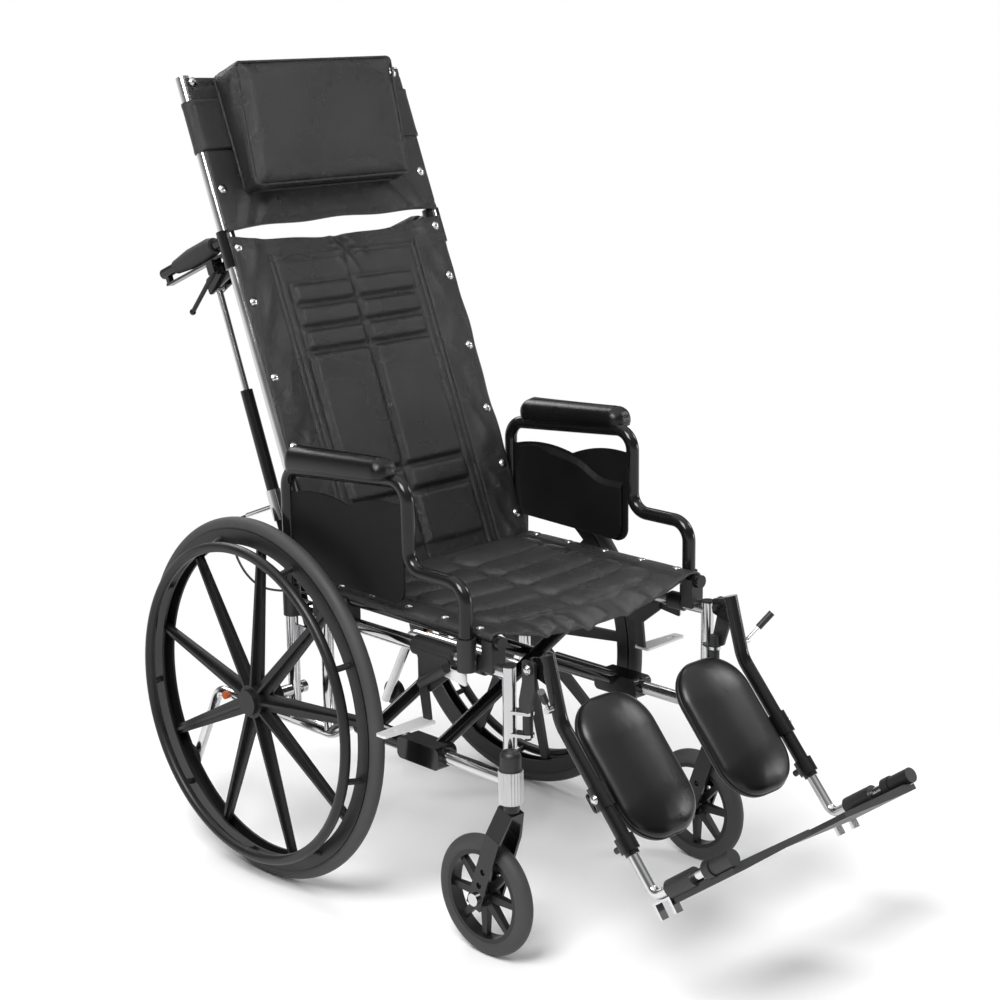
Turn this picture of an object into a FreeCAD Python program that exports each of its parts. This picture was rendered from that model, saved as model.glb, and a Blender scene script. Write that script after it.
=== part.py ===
import FreeCAD
import Part
import math
import os

V = FreeCAD.Vector

# Reclining folding wheelchair, in millimetres. +Z is up, the front is -Y and the sitter's left is +X.
# While building, y = 0 is the rear axle line and z = 0 the floor. The finished part is moved so that
# its origin lies under the middle of its box. The left side is built and mirrored for the right.

# Clearances
RUNNING_GAP = 0.3
SEAT_GAP = 0.3

# Frame tubes and their places
FRAME_WIDTH = 450.0
FRAME_TUBE = 22.0
UPRIGHT_TUBE = 21.0
TUBE_WALL = 1.6
UPPER_RAIL_Z = 452.0
LOWER_RAIL_Z = 284.0
TIP_RAIL_Z = 252.0
RAIL_BEND = 40.0
LOWER_RAIL_DROP_Y = -150.0
DROP_RUN = 55.0
TIP_RAIL_REAR_Y = 165.0
FRONT_UPRIGHT_Y = -515.0
UPRIGHT_FOOT = 26.0
UPRIGHT_HEAD = 11.0
PLATE = 5.0

# Rear wheels
WHEEL_DIAMETER = 610.0
WHEEL_TRACK = 592.0
TYRE_HEIGHT = 18.0
TYRE_SEAT_WIDTH = 22.0
RIM_WIDTH = 26.0
RIM_DEPTH = 25.0
RIM_WALL = 4.0
SPOKES = 9
SPOKE_LEAD = 4.5
SPOKE_WIDTH_HUB = 30.0
SPOKE_WIDTH_RIM = 15.0
SPOKE_THICK = 8.0
SPOKE_DISH = 8.0
RIB_WIDTH = 5.0
RIB_HUB = 11.0
RIB_RIM = 4.0
HUB_DIAMETER = 56.0
HUB_INBOARD = 27.0
HUB_OUTBOARD = 22.0
HUB_CAP_DIAMETER = 42.0
HUB_CAP_HEIGHT = 8.0
AXLE_DIAMETER = 12.7
HANDRIM_DIAMETER = 524.0
HANDRIM_TUBE = 17.0
HANDRIM_OFFSET = 38.0
HANDRIM_TAB = 10.0

# Casters
CASTER_DIAMETER = 192.0
CASTER_TRACK = 492.0
CASTER_WIDTH = 28.0
CASTER_TYRE_HEIGHT = 22.0
CASTER_RIM_DEPTH = 7.0
CASTER_SPOKES = 8
CASTER_HUB_DIAMETER = 34.0
CASTER_BOLT = 10.0
STEM_Y = -537.0
CASTER_TRAIL = 57.0
STEM_DIAMETER = 16.0
FORK_STRAP = 5.0
FORK_STRAP_WIDTH = 30.0
FORK_SIDE_ROOM = 5.0
FORK_CROWN_Z = 258.0
FORK_HOLE_PITCH = 26.0
HOUSING_DIAMETER = 38.0
HOUSING_HEIGHT = 51.0
HOUSING_RIBS = 24
HOUSING_RIB_DEPTH = 1.2
HOUSING_LIFT = 4.0
DUST_CAP_DIAMETER = 32.0
DUST_CAP_HEIGHT = 31.0

# Cross brace and seat rails
SEAT_RAIL_Z = 494.0
SEAT_RAIL_FRONT_Y = -499.0
SEAT_RAIL_REAR_Y = -120.0
CROSS_TUBE = 22.0
CROSS_FRONT_Y = -345.0
CROSS_REAR_Y = -200.0
CROSS_SPACING = 25.0
SLEEVE_WALL = 4.2
SLEEVE_MARGIN = 20.0
JAW_LENGTH = 96.0
JAW_WALL = 4.0
JAW_ROUND = 9.0
PIVOT_BOLT = 10.0
SADDLE_FRONT_Y = -482.0
SADDLE_REAR_Y = -150.0
SADDLE_LENGTH = 22.0
SADDLE_WALL = 3.0

# Back posts, handles and struts
BACK_PIVOT_Y = -91.0
BACK_PIVOT_Z = 485.0
RECLINE = 21.7
POST_LENGTH = 877.0
POST_FOOT = 12.0
BACK_PIN = 10.0
HANDLE_HEIGHT = 602.0
HANDLE_REACH = 197.0
HANDLE_TUBE = 18.0
GRIP_START = 36.0
GRIP_LENGTH = 118.0
GRIP_DIAMETER = 34.0
CLAMP_WALL = 4.0
CLAMP_HEIGHT = 62.0
STRUT_X = 201.0
STRUT_FOOT_Y = -20.0
STRUT_FOOT_Z = 402.0
STRUT_TOP_HEIGHT = 548.0
STRUT_TOP_REAR = 89.5
STRUT_ROD = 11.0
STRUT_TUBE = 18.0
STRUT_BODY = 21.0
STRUT_COLLAR = 25.0
COLLAR_START = 193.0
COLLAR_LENGTH = 52.0
BODY_LENGTH = 172.0
STRUT_EYE = 22.0
EYE_THICK = 14.0
STRUT_PIN = 10.0
ROD_INSERTION = 118.0
ROD_TRAVEL = 84.0
RELEASE_ARM = 90.0
LEVER_DIAMETER = 8.0
LEVER_LENGTH = 104.0
LEVER_ANGLE = 26.0
LEVER_DROP = 36.0
LEVER_REAR = 52.0
LEVER_BOSS = 14.0
CABLE_DIAMETER = 4.0

# Arms
ARM_X = 251.0
ARM_TUBE = 22.0
ARM_FRONT_Y = -452.0
ARM_STEP_Y = -327.0
ARM_REAR_Y = -36.0
ARM_STEP_Z = 579.0
ARM_TOP_FRONT_Z = 716.0
ARM_TOP_REAR_Z = 692.0
ARM_BEND = 32.0
SOCKET_WALL = 3.4
SOCKET_HEIGHT = 47.0
SOCKET_FLOOR = 4.0
ARM_PAD_LENGTH = 262.0
ARM_PAD_WIDTH = 50.0
ARM_PAD_HEIGHT = 30.0
ARM_PAD_MID_Y = -172.0
PANEL_THICK = 4.0
PANEL_LOW_Z = 521.0
PANEL_REAR_Z = 655.0
PANEL_FRONT_Z = 676.0
PANEL_DIP = 0.52
PANEL_WAVE = 9.0
PANEL_CORNER = 24.0
PANEL_LOW_RISE = 8.0

# Legrests
HINGE_X = 213.0
HINGE_Y = -541.0
HINGE_PIN = 10.0
HINGE_LUG_LOW_Z = 357.0
HINGE_LUG_HIGH_Z = 392.0
HANGER_X = 218.5
BOLT_HEAD = 2.2
LEG_X = 207.0
LEG_TUBE = 22.0
LEG_PIVOT_Y = -553.0
LEG_PIVOT_Z = 467.0
LEG_TOP_Y = -577.0
LEG_TOP_Z = 490.0
LEG_BEND_Y = -604.0
LEG_BEND_Z = 393.0
LEG_ANGLE = 40.8
LEG_LENGTH = 216.0
LEG_BEND = 60.0
FOOT_ROD = 16.0
FOOT_DROP = 282.0
FOOT_ROD_LENGTH = 168.0
FOOT_ANGLE = 36.5
FOOT_BEND = 16.0
ROD_STOW = 150.0
FOOTPLATE_WIDTH = 152.0
FOOTPLATE_DEPTH = 132.0
FOOTPLATE_START = 36.0
FOOTPLATE_HINGE_THICK = 13.0
FOOTPLATE_EDGE_THICK = 8.0
PLATE_REBATE = 1.5
KNUCKLE_DIAMETER = 28.0
KNUCKLE_LENGTH = 56.0
END_CAP_LENGTH = 34.0
END_CAP_DIAMETER = 24.0
CALF_WIDTH = 150.0
CALF_LENGTH = 232.0
CALF_THICK = 44.0
CALF_CORNER = 58.0
CALF_X = 112.0
CALF_ALONG = 96.0
CALF_BACK = -19.0
CALF_BOARD = 6.0
BRACKET_ALONG = 122.0
LEG_LEVER = 5.5
LEG_LEVER_GRIP = 32.0
LEG_LEVER_REACH = 38.0

# Wheel locks
LOCK_FRONT_Y = -402.0
LOCK_REAR_Y = -312.0
LOCK_WALL = 4.5
LOCK_PIVOT_Y = -345.0
LOCK_PIVOT_Z = 402.0
LOCK_ARM = 56.0
LOCK_PIN = 8.0
SHOE_LENGTH = 100.0
SHOE_WIDTH = 32.0
SHOE_THICK = 4.0
LOCK_HANDLE_LENGTH = 74.0
LOCK_HANDLE_ANGLE = 32.0
LOCK_GRIP = 15.0

# Anti-tippers
TIP_TUBE = 18.0
TIP_BEND_Y = 215.0
TIP_END_Y = 291.0
TIP_END_Z = 109.0
TIP_INSERTION = 60.0
TIP_BEND = 28.0
TIP_WHEEL_DIAMETER = 50.0
TIP_WHEEL_WIDTH = 16.0
TIP_AXLE = 8.0
TIP_BUTTON = 14.0
TIP_BUTTON_Y = 181.0
TIP_BUTTON_TRAVEL = 4.0

# Soft goods
CLOTH = 3.0
SEAT_CLOTH = 4.0
SEAT_FRONT_Y = -488.0
SEAT_REAR_Y = -108.0
SEAT_SAG_FRONT = 25.0
SEAT_SAG_REAR = 6.0
BACK_LOW = 14.0
BACK_TOP = 601.0
BACK_TOP_DIP = 15.0
SHEET_BOW = 6.0
HEAD_TOP_DIP = 4.0
BACK_PAD_RAISE = 7.0
BACK_COLUMN_IN = 8.0
BACK_COLUMN_OUT = 132.0
BACK_BARS = 3
BACK_BAR = 34.0
BACK_SEAM = 6.0
BACK_FOOT = 26.0
BACK_LOWER_PANEL = 88.0
BACK_BAND = 39.0
BACK_LONG_PANEL = 211.0
HEAD_LOW = 612.0
HEAD_TOP = 872.0
PILLOW_WIDTH = 346.0
PILLOW_LOW = 666.0
PILLOW_TOP = 878.0
PILLOW_SHIFT = -14.0
PILLOW_FRONT_TOP = 92.0
PILLOW_FRONT_LOW = 58.0
PILLOW_CORNER = 20.0
STRAP_LOW = 748.0
STRAP_HEIGHT = 86.0
STRAP_THICK = 2.0

# Derived sizes
frame_x = FRAME_WIDTH / 2
tube_r = FRAME_TUBE / 2
tube_bore = tube_r - TUBE_WALL
axle_z = WHEEL_DIAMETER / 2
axle_r = AXLE_DIAMETER / 2
wheel_x = WHEEL_TRACK / 2
rim_r = axle_z - TYRE_HEIGHT
hub_r = HUB_DIAMETER / 2
caster_x = CASTER_TRACK / 2
caster_r = CASTER_DIAMETER / 2
caster_y = STEM_Y + CASTER_TRAIL
stem_r = STEM_DIAMETER / 2
housing_low = FORK_CROWN_Z + HOUSING_LIFT
housing_top = housing_low + HOUSING_HEIGHT
upright_low = housing_low - HOUSING_LIFT
upright_top = UPPER_RAIL_Z + UPRIGHT_HEAD
cross_rise = SEAT_RAIL_Z - LOWER_RAIL_Z
cross_mid_z = (SEAT_RAIL_Z + LOWER_RAIL_Z) / 2
cross_angle = math.degrees(math.atan2(cross_rise, FRAME_WIDTH))
sleeve_bore = tube_r + RUNNING_GAP
sleeve_front_y = CROSS_FRONT_Y - CROSS_TUBE / 2 - SLEEVE_MARGIN
sleeve_rear_y = CROSS_REAR_Y + CROSS_TUBE / 2 + SLEEVE_MARGIN
socket_r = ARM_TUBE / 2 + RUNNING_GAP + SOCKET_WALL
socket_low = UPPER_RAIL_Z - SOCKET_FLOOR
arm_foot_z = UPPER_RAIL_Z + RUNNING_GAP
arm_slope = math.degrees(math.atan2(ARM_TOP_FRONT_Z - ARM_TOP_REAR_Z, ARM_REAR_Y - ARM_STEP_Y))
leg_r = LEG_TUBE / 2
foot_rod_r = FOOT_ROD / 2
cloth_front = -(tube_r + SEAT_GAP)
sheet_half = frame_x + tube_r
pin_hole = RUNNING_GAP
tip_wheel_x = frame_x + TIP_TUBE / 2 + 0.8


def unit(vector):
    return vector * (1.0 / vector.Length)


def rod(start, end, radius):
    axis = end - start
    return Part.makeCylinder(radius, axis.Length, start, axis)


def bent_path(points, bend):
    # Straight runs joined by tangent arcs of one radius.
    edges = []
    start = points[0]
    for before, corner, after in zip(points, points[1:], points[2:]):
        back = unit(before - corner)
        ahead = unit(after - corner)
        half = back.getAngle(ahead) / 2
        reach = bend / math.tan(half)
        inward = unit(back + ahead)
        crown = corner + inward * (bend / math.sin(half) - bend)
        first = corner + back * reach
        last = corner + ahead * reach
        edges.append(Part.LineSegment(start, first).toShape())
        edges.append(Part.Arc(first, crown, last).toShape())
        start = last
    edges.append(Part.LineSegment(start, points[-1]).toShape())
    return Part.Wire(edges)


def bent_rod(points, radius, bend):
    path = bent_path(points, bend)
    profile = Part.Wire([Part.makeCircle(radius, points[0], points[1] - points[0])])
    return path.makePipeShell([profile], True, False)


def bent_tube(points, radius, bore, bend):
    return bent_rod(points, radius, bend).cut(bent_rod(points, bore, bend))


def rounded_face(corners, radius):
    # A flat face through the corners, each rounded with the same radius.
    middle = (corners[0] + corners[-1]) * 0.5
    return Part.Face(bent_path([middle] + corners + [middle], radius))


def side_plate(outline, x_from, x_to, radius):
    # A plate square to X, from (y, z) corners.
    corners = [V(x_from, y, z) for y, z in outline]
    return rounded_face(corners, radius).extrude(V(x_to - x_from, 0, 0))


def flat_plate(outline, z_from, z_to, radius):
    # A level plate, from (x, y) corners.
    corners = [V(x, y, z_from) for x, y in outline]
    return rounded_face(corners, radius).extrude(V(0, 0, z_to - z_from))


def block(x_from, x_to, y_from, y_to, z_from, z_to):
    return Part.makeBox(x_to - x_from, y_to - y_from, z_to - z_from, V(x_from, y_from, z_from))


def fuse(shapes):
    return shapes[0].multiFuse(shapes[1:]).removeSplitter()


def turned(profile, axis_point, axis):
    # A closed profile revolved a full turn.
    return Part.Face(profile).revolve(axis_point, axis, 360)


def polygon(points):
    return Part.makePolygon(points + [points[0]])


def rounded_rectangle(width, height, radius, to_point):
    # A closed wire of four lines and four quarter arcs, placed by to_point(u, v).
    w = width / 2
    h = height / 2
    diagonal = radius * (1 - math.sqrt(0.5))
    edges = []
    for u_sign, v_sign, horizontal_first in ((1, 1, False), (-1, 1, True), (-1, -1, False), (1, -1, True)):
        side = to_point(u_sign * w, v_sign * (h - radius))
        level = to_point(u_sign * (w - radius), v_sign * h)
        crown = to_point(u_sign * (w - diagonal), v_sign * (h - diagonal))
        ends = (level, side) if horizontal_first else (side, level)
        edges.append(Part.Arc(ends[0], crown, ends[1]).toShape())
        if horizontal_first:
            edges.append(Part.LineSegment(side, to_point(u_sign * w, -v_sign * (h - radius))).toShape())
        else:
            edges.append(Part.LineSegment(level, to_point(-u_sign * (w - radius), v_sign * h)).toShape())
    return Part.Wire(edges)


def cushion(sections, radius, to_point):
    # A padded form lofted through rounded rectangles of (height, width, length).
    wires = []
    for height, width, length in sections:
        corner = min(radius, width / 2 - 1, length / 2 - 1)
        wires.append(rounded_rectangle(width, length, corner, lambda u, v: to_point(u, v, height)))
    return Part.makeLoft(wires, True, True)


def across(y, z, x_from, x_to, radius):
    # A round bar along X.
    return rod(V(x_from, y, z), V(x_to, y, z), radius)


# Side frame

def frame_skeleton(inset):
    # The welded tubes, drawn that far inside their outer faces.
    rail_r = tube_r - inset
    upright_r = UPRIGHT_TUBE / 2 - inset
    upper = rod(V(frame_x, FRONT_UPRIGHT_Y, UPPER_RAIL_Z), V(frame_x, 0, UPPER_RAIL_Z), rail_r)
    front = rod(V(frame_x, FRONT_UPRIGHT_Y, upright_low), V(frame_x, FRONT_UPRIGHT_Y, upright_top),
            upright_r)
    middle = rod(V(frame_x, BACK_PIVOT_Y, TIP_RAIL_Z), V(frame_x, BACK_PIVOT_Y, UPPER_RAIL_Z), upright_r)
    rear = rod(V(frame_x, 0, TIP_RAIL_Z), V(frame_x, 0, upright_top - inset), upright_r)
    lower = bent_rod([
        V(frame_x, FRONT_UPRIGHT_Y, LOWER_RAIL_Z),
        V(frame_x, LOWER_RAIL_DROP_Y, LOWER_RAIL_Z),
        V(frame_x, LOWER_RAIL_DROP_Y + DROP_RUN, TIP_RAIL_Z),
        V(frame_x, TIP_RAIL_REAR_Y, TIP_RAIL_Z),
    ], rail_r, RAIL_BEND)
    return upper.multiFuse([front, middle, rear, lower])


def strip_between(start, end, width, z_from, z_to):
    # A level bar between two upright axes.
    along = unit(V(end[0] - start[0], end[1] - start[1], 0))
    side = V(-along.y, along.x, 0) * (width / 2)
    first = V(start[0], start[1], z_from)
    last = V(end[0], end[1], z_from)
    return Part.Face(polygon([first + side, last + side, last - side, first - side])).extrude(V(0, 0,
            z_to - z_from))


def hinge_lug(z_low):
    arm = strip_between((frame_x, FRONT_UPRIGHT_Y), (HINGE_X, HINGE_Y), 2 * HINGE_PIN, z_low, z_low + PLATE)
    end = Part.makeCylinder(HINGE_PIN, PLATE, V(HINGE_X, HINGE_Y, z_low))
    bore = Part.makeCylinder(HINGE_PIN / 2 + pin_hole, PLATE, V(HINGE_X, HINGE_Y, z_low))
    return arm.fuse(end).cut(bore)


def caster_gusset(z_low):
    plate = strip_between((frame_x, FRONT_UPRIGHT_Y), (caster_x, STEM_Y), HOUSING_DIAMETER * 0.6, z_low,
            z_low + PLATE)
    hole = Part.makeCylinder(HOUSING_DIAMETER / 2, PLATE, V(caster_x, STEM_Y, z_low))
    return plate.cut(hole)


def pivot_ears():
    ears = []
    outline = [
        (BACK_PIVOT_Y - 14, UPPER_RAIL_Z),
        (BACK_PIVOT_Y - 14, BACK_PIVOT_Z + 12),
        (BACK_PIVOT_Y + 14, BACK_PIVOT_Z + 12),
        (BACK_PIVOT_Y + 14, UPPER_RAIL_Z),
    ]
    for side in (-1, 1):
        inner = frame_x + side * (tube_r + RUNNING_GAP)
        outer = inner + side * PLATE
        web_inner = frame_x + side * (tube_r - PLATE)
        ears.append(side_plate(outline, inner, outer, PLATE))
        ears.append(block(min(web_inner, outer), max(web_inner, outer), BACK_PIVOT_Y - 9, BACK_PIVOT_Y + 9,
                          UPPER_RAIL_Z, UPPER_RAIL_Z + tube_r))
    return ears


def strut_bracket():
    outline = [
        (STRUT_FOOT_Y - 14, STRUT_FOOT_Z - 14),
        (STRUT_FOOT_Y - 14, STRUT_FOOT_Z + 14),
        (tube_r / 2, STRUT_FOOT_Z + 14),
        (tube_r / 2, STRUT_FOOT_Z - 14),
    ]
    return side_plate(outline, frame_x - tube_r + 1, frame_x - tube_r + 1 + PLATE, PLATE)


def fluted_housing():
    points = []
    for step in range(2 * HOUSING_RIBS):
        turn = math.pi * step / HOUSING_RIBS
        radius = HOUSING_DIAMETER / 2 - HOUSING_RIB_DEPTH * (step % 2)
        points.append(V(caster_x + radius * math.cos(turn), STEM_Y + radius * math.sin(turn), housing_low))
    body = Part.Face(polygon(points)).extrude(V(0, 0, HOUSING_HEIGHT))
    bore = Part.makeCylinder(stem_r + RUNNING_GAP, HOUSING_HEIGHT, V(caster_x, STEM_Y, housing_low))
    return body.cut(bore)


def rear_axle():
    inner = frame_x - tube_r - PLATE
    outer = wheel_x + HUB_OUTBOARD - 2
    head = across(0, axle_z, inner - PLATE, inner + PLATE, axle_r + 4)
    spacer = across(0, axle_z, frame_x + tube_r - 1, wheel_x - HUB_INBOARD - RUNNING_GAP, axle_r + 4)
    return fuse([across(0, axle_z, inner, outer, axle_r), head, spacer])


def side_frame():
    axle = rear_axle()
    back_pin = across(BACK_PIVOT_Y, BACK_PIVOT_Z, frame_x - tube_r - 2 * PLATE,
            frame_x + tube_r + 2 * PLATE, BACK_PIN / 2)
    strut_pin = across(STRUT_FOOT_Y, STRUT_FOOT_Z, STRUT_X - EYE_THICK / 2 - PLATE,
            frame_x - tube_r + 1 + PLATE, STRUT_PIN / 2)
    hollow = frame_skeleton(TUBE_WALL)
    plates = [hinge_lug(HINGE_LUG_LOW_Z), hinge_lug(HINGE_LUG_HIGH_Z), strut_bracket()] + pivot_ears()
    for z_low in (housing_low + PLATE, housing_top - 2 * PLATE):
        plates.append(caster_gusset(z_low))
    tubes = frame_skeleton(0).cut(hollow)
    weldment = tubes.multiFuse([plate.cut(hollow) for plate in plates]).cut(axle).cut(back_pin).cut(strut_pin)
    return Part.makeCompound([weldment, fluted_housing(), axle, back_pin, strut_pin])


# Plastic frame fittings

def arm_socket(y):
    cup = Part.makeCylinder(socket_r, SOCKET_HEIGHT + SOCKET_FLOOR, V(ARM_X, y, socket_low))
    grip = rod(V(frame_x, y - socket_r, UPPER_RAIL_Z), V(frame_x, y + socket_r, UPPER_RAIL_Z),
            tube_r + SOCKET_WALL)
    bridge = block(frame_x, ARM_X, y - socket_r * 0.8, y + socket_r * 0.8, socket_low,
            UPPER_RAIL_Z + SOCKET_WALL)
    rail = rod(V(frame_x, y - 2 * socket_r, UPPER_RAIL_Z), V(frame_x, y + 2 * socket_r, UPPER_RAIL_Z),
            tube_r)
    bore = Part.makeCylinder(ARM_TUBE / 2 + RUNNING_GAP, SOCKET_HEIGHT, V(ARM_X, y, UPPER_RAIL_Z))
    return fuse([cup, grip, bridge]).cut(rail).cut(bore)


def seat_saddle(y):
    half = tube_r + SADDLE_WALL
    start = y - SADDLE_LENGTH / 2
    end = y + SADDLE_LENGTH / 2
    body = block(frame_x - half, frame_x + half, start, end, UPPER_RAIL_Z - SADDLE_WALL,
            SEAT_RAIL_Z + SADDLE_WALL)
    rail = rod(V(frame_x, start, UPPER_RAIL_Z), V(frame_x, end, UPPER_RAIL_Z), tube_r)
    channel_r = tube_r + RUNNING_GAP
    channel = rod(V(frame_x, start, SEAT_RAIL_Z), V(frame_x, end, SEAT_RAIL_Z), channel_r)
    mouth = block(frame_x - channel_r, frame_x + channel_r, start, end, SEAT_RAIL_Z, SEAT_RAIL_Z + half)
    lower_mouth = block(frame_x - tube_r, frame_x + tube_r, start, end, UPPER_RAIL_Z - half, UPPER_RAIL_Z)
    return body.cut(rail).cut(channel).cut(mouth).cut(lower_mouth)


def upright_cap():
    lid = Part.makeCylinder(UPRIGHT_TUBE / 2, SADDLE_WALL, V(frame_x, FRONT_UPRIGHT_Y, upright_top))
    plug = Part.makeCylinder(UPRIGHT_TUBE / 2 - TUBE_WALL, 2 * SADDLE_WALL,
            V(frame_x, FRONT_UPRIGHT_Y, upright_top - 2 * SADDLE_WALL))
    return lid.fuse(plug)


def dust_cap():
    cap = Part.makeCylinder(DUST_CAP_DIAMETER / 2, DUST_CAP_HEIGHT, V(caster_x, STEM_Y, housing_top))
    rim = [edge for edge in cap.Edges if edge.BoundBox.ZMin > housing_top
            + DUST_CAP_HEIGHT / 2 and edge.Closed]
    return cap.makeFillet(DUST_CAP_HEIGHT / 3, rim)


def frame_fittings():
    return Part.makeCompound([
        arm_socket(ARM_FRONT_Y),
        arm_socket(ARM_REAR_Y),
        seat_saddle(SADDLE_FRONT_Y),
        seat_saddle(SADDLE_REAR_Y),
        upright_cap(),
        dust_cap(),
    ])


# Wheels. A wheel is built round the X axis at the origin, outboard towards +X.

def ring(points):
    # A closed (x, radius) outline turned round the X axis.
    return turned(polygon([V(x, 0, radius) for x, radius in points]), V(0, 0, 0), V(1, 0, 0))


def round_tyre(seat_r, outer_r, seat_width):
    half = seat_width / 2
    tread = Part.Arc(V(half, 0, seat_r), V(0, 0, outer_r), V(-half, 0, seat_r)).toShape()
    seat = Part.LineSegment(V(-half, 0, seat_r), V(half, 0, seat_r)).toShape()
    return turned(Part.Wire([tread, seat]), V(0, 0, 0), V(1, 0, 0))


def radial_bar(inner_r, outer_r, inner_size, outer_size, inner_x, outer_x):
    # A tapered bar standing on the hub, with (tangential, axial) sizes at each end.
    wires = []
    for radius, size, x in ((inner_r, inner_size, inner_x), (outer_r, outer_size, outer_x)):
        w = size[0] / 2
        t = size[1] / 2
        wires.append(polygon([V(x - t, -w, radius), V(x + t, -w, radius), V(x + t, w, radius),
            V(x - t, w, radius)]))
    return Part.makeLoft(wires, True, True)


def around(shape, count, lead):
    # Copies of a shape evenly round the X axis.
    copies = []
    for step in range(count):
        copy = shape.copy()
        copy.rotate(V(0, 0, 0), V(1, 0, 0), lead + 360.0 * step / count)
        copies.append(copy)
    return copies


def moulded_wheel():
    half = RIM_WIDTH / 2
    low = rim_r - RIM_DEPTH
    rim = ring([
        (-half, low), (-half + RIM_WALL, low), (-half + RIM_WALL, rim_r - RIM_WALL),
        (half - RIM_WALL, rim_r - RIM_WALL), (half - RIM_WALL, low), (half, low), (half, rim_r),
        (-half, rim_r),
    ])
    foot = hub_r * 0.7
    reach = rim_r - RIM_WALL / 2
    flange = radial_bar(foot, reach, (SPOKE_WIDTH_HUB, SPOKE_THICK), (SPOKE_WIDTH_RIM, SPOKE_THICK),
            SPOKE_DISH, 0)
    rib_foot_x = SPOKE_DISH + SPOKE_THICK / 2 + RIB_HUB / 2
    rib_end_x = SPOKE_THICK / 2 + RIB_RIM / 2
    rib = radial_bar(foot, reach, (RIB_WIDTH, RIB_HUB), (RIB_WIDTH, RIB_RIM), rib_foot_x - 0.5,
            rib_end_x - 0.5)
    spoke = flange.fuse(rib)
    hub = across(0, 0, -HUB_INBOARD, HUB_OUTBOARD, hub_r)
    cap = across(0, 0, HUB_OUTBOARD - 1, HUB_OUTBOARD + HUB_CAP_HEIGHT, HUB_CAP_DIAMETER / 2)
    bore = across(0, 0, -HUB_INBOARD, HUB_OUTBOARD - 1, axle_r + RUNNING_GAP)
    return fuse([rim, hub, cap] + around(spoke, SPOKES, SPOKE_LEAD)).cut(bore)


def handrim():
    # A hoop on short tabs that stand on the rim.
    hoop_r = HANDRIM_DIAMETER / 2
    hoop = Part.makeTorus(hoop_r, HANDRIM_TUBE / 2, V(HANDRIM_OFFSET, 0, 0), V(1, 0, 0))
    seat_r = rim_r - RIM_DEPTH / 2
    tab = rod(V(RIM_WIDTH / 2 - HANDRIM_TAB, 0, seat_r), V(HANDRIM_OFFSET, 0, hoop_r), HANDRIM_TAB / 2)
    tab = tab.cut(block(-RIM_WIDTH, RIM_WIDTH / 2, -HANDRIM_TAB, HANDRIM_TAB, 0, rim_r)).cut(hoop)
    return [hoop] + around(tab, SPOKES, SPOKE_LEAD + 180.0 / SPOKES)


def set_at(shape, x, y, z):
    moved = shape.copy()
    moved.translate(V(x, y, z))
    return moved


def caster_wheel():
    half = CASTER_WIDTH / 2 - 3
    seat_r = caster_r - CASTER_TYRE_HEIGHT
    low = seat_r - CASTER_RIM_DEPTH
    rim = ring([(-half, low), (half, low), (half, seat_r), (-half, seat_r)])
    hub_radius = CASTER_HUB_DIAMETER / 2
    spoke = radial_bar(hub_radius * 0.7, low + 2, (14, 12), (9, 9), 0, 0)
    hub = across(0, 0, -CASTER_WIDTH / 2, CASTER_WIDTH / 2, hub_radius)
    bore = across(0, 0, -CASTER_WIDTH / 2, CASTER_WIDTH / 2, CASTER_BOLT / 2 + RUNNING_GAP)
    return fuse([rim, hub] + around(spoke, CASTER_SPOKES, 0)).cut(bore)


def caster_tyre():
    return round_tyre(caster_r - CASTER_TYRE_HEIGHT, caster_r, CASTER_WIDTH - 6)


def caster_fork():
    # The strap is drawn in the plane of X and the leg line, then given its width.
    crown = V(caster_x, STEM_Y, FORK_CROWN_Z - FORK_STRAP_WIDTH / 4)
    axle = V(caster_x, caster_y, caster_r)
    up = unit(crown - axle)
    wide = unit(V(0, up.z, -up.y))
    length = (crown - axle).Length
    outer = CASTER_WIDTH / 2 + FORK_SIDE_ROOM + FORK_STRAP
    inner = outer - FORK_STRAP
    foot = -FORK_STRAP_WIDTH / 2
    shoulder = caster_r + 20
    neck = stem_r + FORK_STRAP
    outline = [
        (-outer, foot), (-outer, shoulder), (-neck, length), (neck, length), (outer, shoulder),
        (outer, foot),
        (inner, foot), (inner, shoulder - 2), (neck - 3, length - FORK_STRAP),
        (3 - neck, length - FORK_STRAP),
        (-inner, shoulder - 2), (-inner, foot),
    ]
    start = axle - wide * (FORK_STRAP_WIDTH / 2)
    corners = [start + V(x, 0, 0) + up * t for x, t in outline]
    strap = Part.Face(polygon(corners)).extrude(wide * FORK_STRAP_WIDTH)
    stem = rod(V(caster_x, STEM_Y, FORK_CROWN_Z - 2 * FORK_STRAP), V(caster_x, STEM_Y, housing_top - 2),
            stem_r)
    washer = rod(V(caster_x, STEM_Y, FORK_CROWN_Z - 2 * FORK_STRAP),
            V(caster_x, STEM_Y, housing_low - RUNNING_GAP), neck)
    bolt = across(caster_y, caster_r, caster_x - outer - FORK_STRAP, caster_x + outer + FORK_STRAP,
            CASTER_BOLT / 2)
    heads = []
    for side in (-1, 1):
        face = caster_x + side * outer
        heads.append(across(caster_y, caster_r, face, face + side * FORK_STRAP, CASTER_BOLT))
    fork = fuse([strap, stem, washer]).cut(bolt)
    for step in (1, 2):
        spare = axle + up * (FORK_HOLE_PITCH * step)
        fork = fork.cut(across(spare.y, spare.z, caster_x - 2 * outer, caster_x + 2 * outer,
            CASTER_BOLT / 2))
    return Part.makeCompound([fork, fuse([bolt] + heads)])


# Cross brace. Each half hinges on one lower rail and carries the other side's seat rail.

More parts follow.
